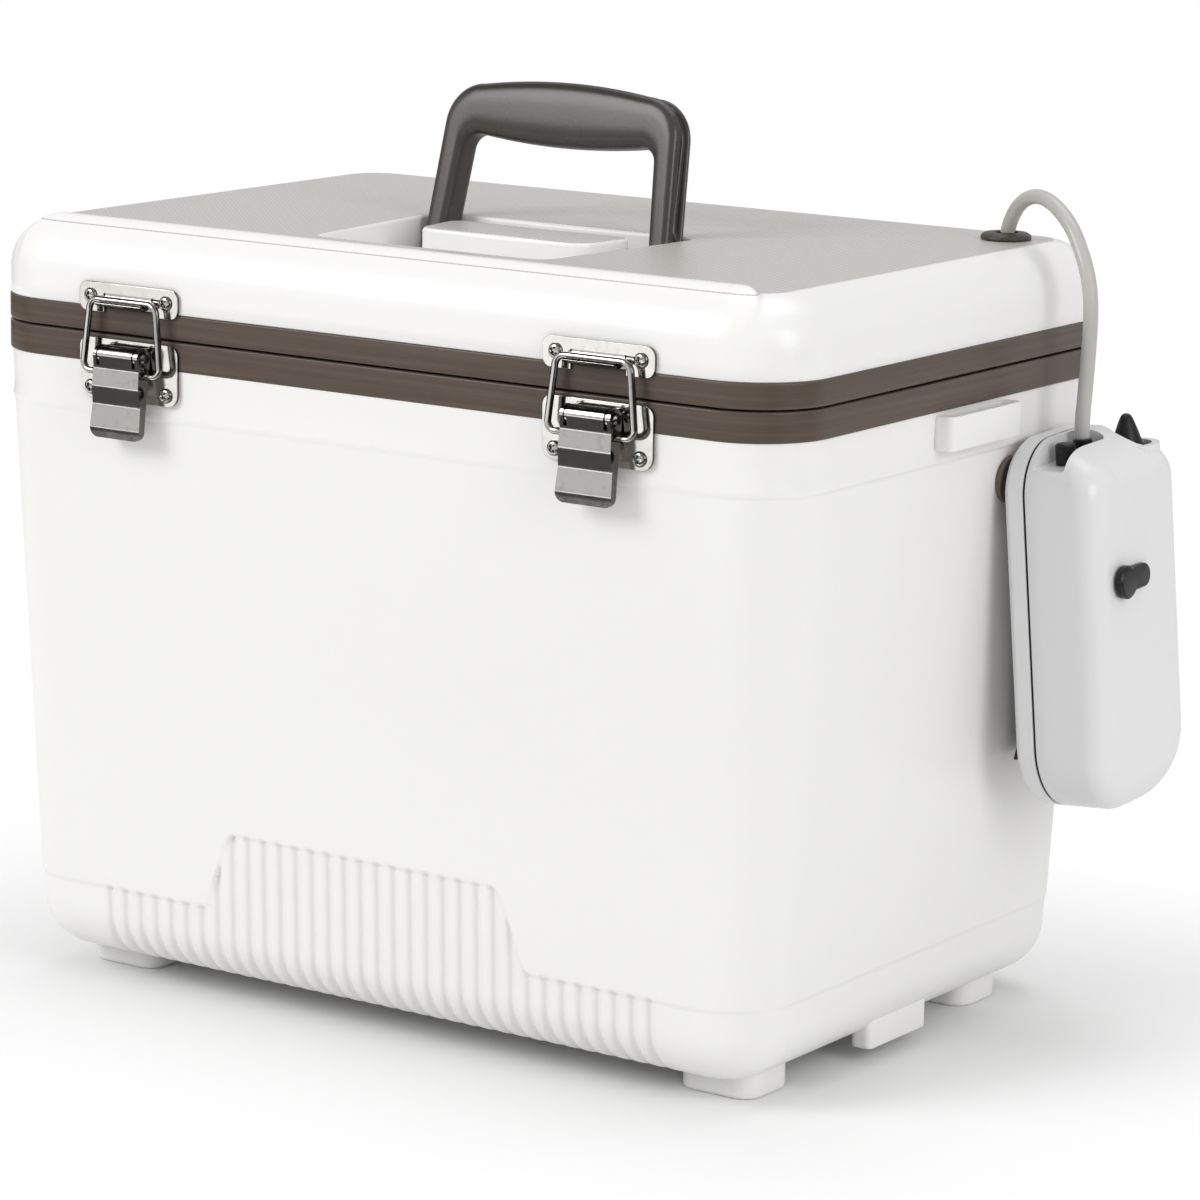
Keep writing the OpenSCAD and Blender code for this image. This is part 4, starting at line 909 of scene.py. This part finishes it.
def pump_case():
    """The case's front half, joined with the raised cup round the power inlet, and cut by the notch for the
    air outlets, the cup's hollow and the switch's slot."""
    rows, columns = case_front()
    case = add_piece("pump_case", pump_space(rows) * MM, quads(len(rows), columns), "pump_white", None)
    merged(case, 2e-6)
    cup = cutter(*pocket((25, 22), (25.6, 25.6, 12.7), 46, 67.2))
    slot, slot_faces = pocket(SWITCH_AT, (18.8, 4.4, 0.6), FACE_X - 4, FACE_X + 4, 0.3)
    tools = [(cup, "UNION"), (cutter(slot[..., [2, 0, 1]], slot_faces), "DIFFERENCE"),
             (cutter(*pocket((19.3, -16), (14, 41, 5), 64.5, 95)), "DIFFERENCE"),
             (cutter(*pocket((25, 22), (19.6, 19.6, 9.7), 63, 95, 0.6)), "DIFFERENCE")]
    for tool, way in tools:
        change = case.modifiers.new(way, "BOOLEAN")
        change.operation, change.solver, change.object = way, "EXACT", tool
    shaped = bpy.data.meshes.new_from_object(case.evaluated_get(bpy.context.evaluated_depsgraph_get()))
    case.modifiers.clear()
    case.data = shaped
    for tool, _ in tools:
        bpy.data.objects.remove(tool)
    shaped.materials.clear()
    shaped.materials.append(finishes["pump_white"])
    shaped.shade_smooth()
    shaped.set_sharp_from_angle(angle=math.radians(32))
    edge = case.modifiers.new("round", "BEVEL")
    edge.width, edge.segments, edge.limit_method = 0.7 * MM, 2, "ANGLE"
    edge.angle_limit, edge.harden_normals = math.radians(40), True
    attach(case, "chest")
    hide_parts("pump_front_shell")


pump_case()


def lathe(name, at, profile, slot, body, replaces, axis="z", around=40):
    """A turned piece of the pump: its profile of radius and height, rounded by Catmull-Rom, is spun round an
    axis through at, which stands up or points forward out of the case."""
    line = smooth_route(np.array([[r, 0, z] for r, z in profile], float), 5)
    r, h = np.maximum(line[:, 0], 0)[:, None], line[:, 2][:, None] + np.zeros(around)
    a = np.arange(around) * 2 * np.pi / around
    u, v = r * np.cos(a), r * np.sin(a)
    rings = np.stack([u, v, h] if axis == "z" else [h, u, v], -1) + np.array(at)
    piece = add_piece(name, pump_space(rings) * MM, quads(len(rings), around), slot, None)
    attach(merged(piece), body)
    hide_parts(replaces)


def switch_body():
    """The oblong plate that the slider runs on: stacked outlines from the case's face, over a rounded
    edge, to the middle of its front."""
    a = np.radians(np.linspace(0, 90, 7))
    inset = np.concatenate([[0], 1.1 * (1 - np.cos(a))])
    lift = np.concatenate([[-0.6], 1.5 + 1.1 * np.sin(a)])
    xy, _ = outline(25 - 2 * inset, 9.6 - 2 * inset, 4.7 - inset, np.linspace(-5, 5, 3), arc=12, side=1)
    rings = np.dstack([np.broadcast_to(FACE_X + lift[:, None], xy.shape[:2]), xy + PLATE_AT])
    ends = [np.broadcast_to([FACE_X + h, *PLATE_AT], rings[:1].shape) for h in (lift[0], lift[-1])]
    rows = np.concatenate([ends[0], rings, ends[1]])
    faces = quads(len(rows), rows.shape[1])
    piece = add_piece("switch_body", pump_space(rows) * MM, faces, "black_plastic", None)
    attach(merged(piece), "chest")
    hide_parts("switch_plate")


switch_body()
lathe("cone_plug", (25, 22, 64.4), [[0, 0], [6.9, 0], [7.1, 0.7], [6.7, 1.8], [5.6, 4.6], [4.3, 8.4], [2.9, 12],
                                    [1.9, 13.8], [0.8, 14.5], [0, 14.6]],
      "black_rubber", "inlet_plug", "inlet_plug")


# ---- Light and floor ----
bpy.context.scene.view_settings.view_transform = "Standard"


def lamp(name, place, target, size, power):
    """A square soft lamp at place, pointing at target."""
    light = bpy.data.lights.new(name, "AREA")
    light.shape, light.size, light.size_y = "RECTANGLE", size[0], size[1]
    light.energy = power
    holder = bpy.data.objects.new(name, light)
    holder.location = place
    holder.rotation_euler = (Vector(target) - Vector(place)).to_track_quat("-Z", "Y").to_euler()
    bpy.context.scene.collection.objects.link(holder)


MIDDLE = (0.0, 0.0, 0.15)
lamp("key_left", (-1.2, -1.9, 1.5), MIDDLE, (1.2, 1.2), 31)
lamp("fill_right", (2.2, -0.6, 1.0), MIDDLE, (1.0, 1.6), 18)
lamp("top", (0.0, 0.5, 2.2), MIDDLE, (1.8, 1.2), 13)


def dark_card(name, corners):
    """A dark card beside the chest, which only shows in gloss and casts no shadow."""
    mesh = bpy.data.meshes.new(name)
    mesh.from_pydata(corners, [], [(0, 1, 2, 3)])
    card = bpy.data.objects.new(name, mesh)
    bpy.context.scene.collection.objects.link(card)
    mesh.materials.append(Finish(name + "_black", (0.02, 0.018, 0.016), 0.9).material)
    card.visible_camera = card.visible_diffuse = card.visible_shadow = card.visible_transmission = False


dark_card("card_low", [(-2.2, -1.15, 0.004), (1.6, -1.15, 0.004), (1.6, -0.42, 0.004), (-2.2, -0.42, 0.004)])
dark_card("card_high", [(-2.0, -0.9, 1.5), (-0.5, -0.9, 1.5), (-0.5, 0.2, 1.5), (-2.0, 0.2, 1.5)])
dark_card("card_right", [(1.5, -1.4, 0.0), (1.5, 0.6, 0.0), (1.5, 0.6, 0.5), (1.5, -1.4, 0.5)])
dark_card("card_left", [(-1.6, -1.0, 0.0), (-1.6, 0.8, 0.0), (-1.6, 0.8, 0.45), (-1.6, -1.0, 0.45)])

world = bpy.data.worlds.new("studio")
bpy.context.scene.world = world
world.use_nodes = True
background = world.node_tree.nodes["Background"]
background.inputs[0].default_value = (1, 1, 1, 1)


def plain_sky():
    """The world lights at a low level, and shows as white to the camera and through glass; gloss sees it at the
    low level.
    """
    tree = world.node_tree
    path = tree.nodes.new("ShaderNodeLightPath")
    seen = tree.nodes.new("ShaderNodeMath")
    seen.operation = "MAXIMUM"
    tree.links.new(path.outputs["Is Camera Ray"], seen.inputs[0])
    tree.links.new(path.outputs["Is Transmission Ray"], seen.inputs[1])
    level = tree.nodes.new("ShaderNodeMapRange")
    level.inputs["To Min"].default_value = 0.62
    level.inputs["To Max"].default_value = 1.0
    tree.links.new(seen.outputs[0], level.inputs["Value"])
    tree.links.new(level.outputs[0], background.inputs["Strength"])


plain_sky()


def pale_floor():
    """A wide flat floor: pale and shadowed near the chest, going to plain white further away."""
    half = 20
    points = [(-half, -half, 0), (half, -half, 0), (half, half, 0), (-half, half, 0)]
    mesh = bpy.data.meshes.new("floor")
    mesh.from_pydata(points, [], [(0, 1, 2, 3)])
    floor = bpy.data.objects.new("floor", mesh)
    bpy.context.scene.collection.objects.link(floor)
    f = Finish("floor_white", (0.86, 0.86, 0.86), 0.7, Specular_IOR_Level=0.1)
    x, y, _ = f.axes()
    out_x, out_y = (abs(x) - 0.19).most(0), (abs(y) - 0.12).most(0)
    far = ((out_x * out_x + out_y * out_y) ** 0.5).ramp(0.0, 0.2)
    glow = f.node("Emission", {}, {"Color": (1, 1, 1, 1), "Strength": 1.0})
    seen = f.node("LightPath")
    both = f.node("MixShader", {}, {0: far * seen, 1: Wire(f, f.shader.outputs[0]), 2: glow})
    f.tree.links.new(both.socket, f.tree.nodes["Material Output"].inputs["Surface"])
    mesh.materials.append(f.material)


pale_floor()
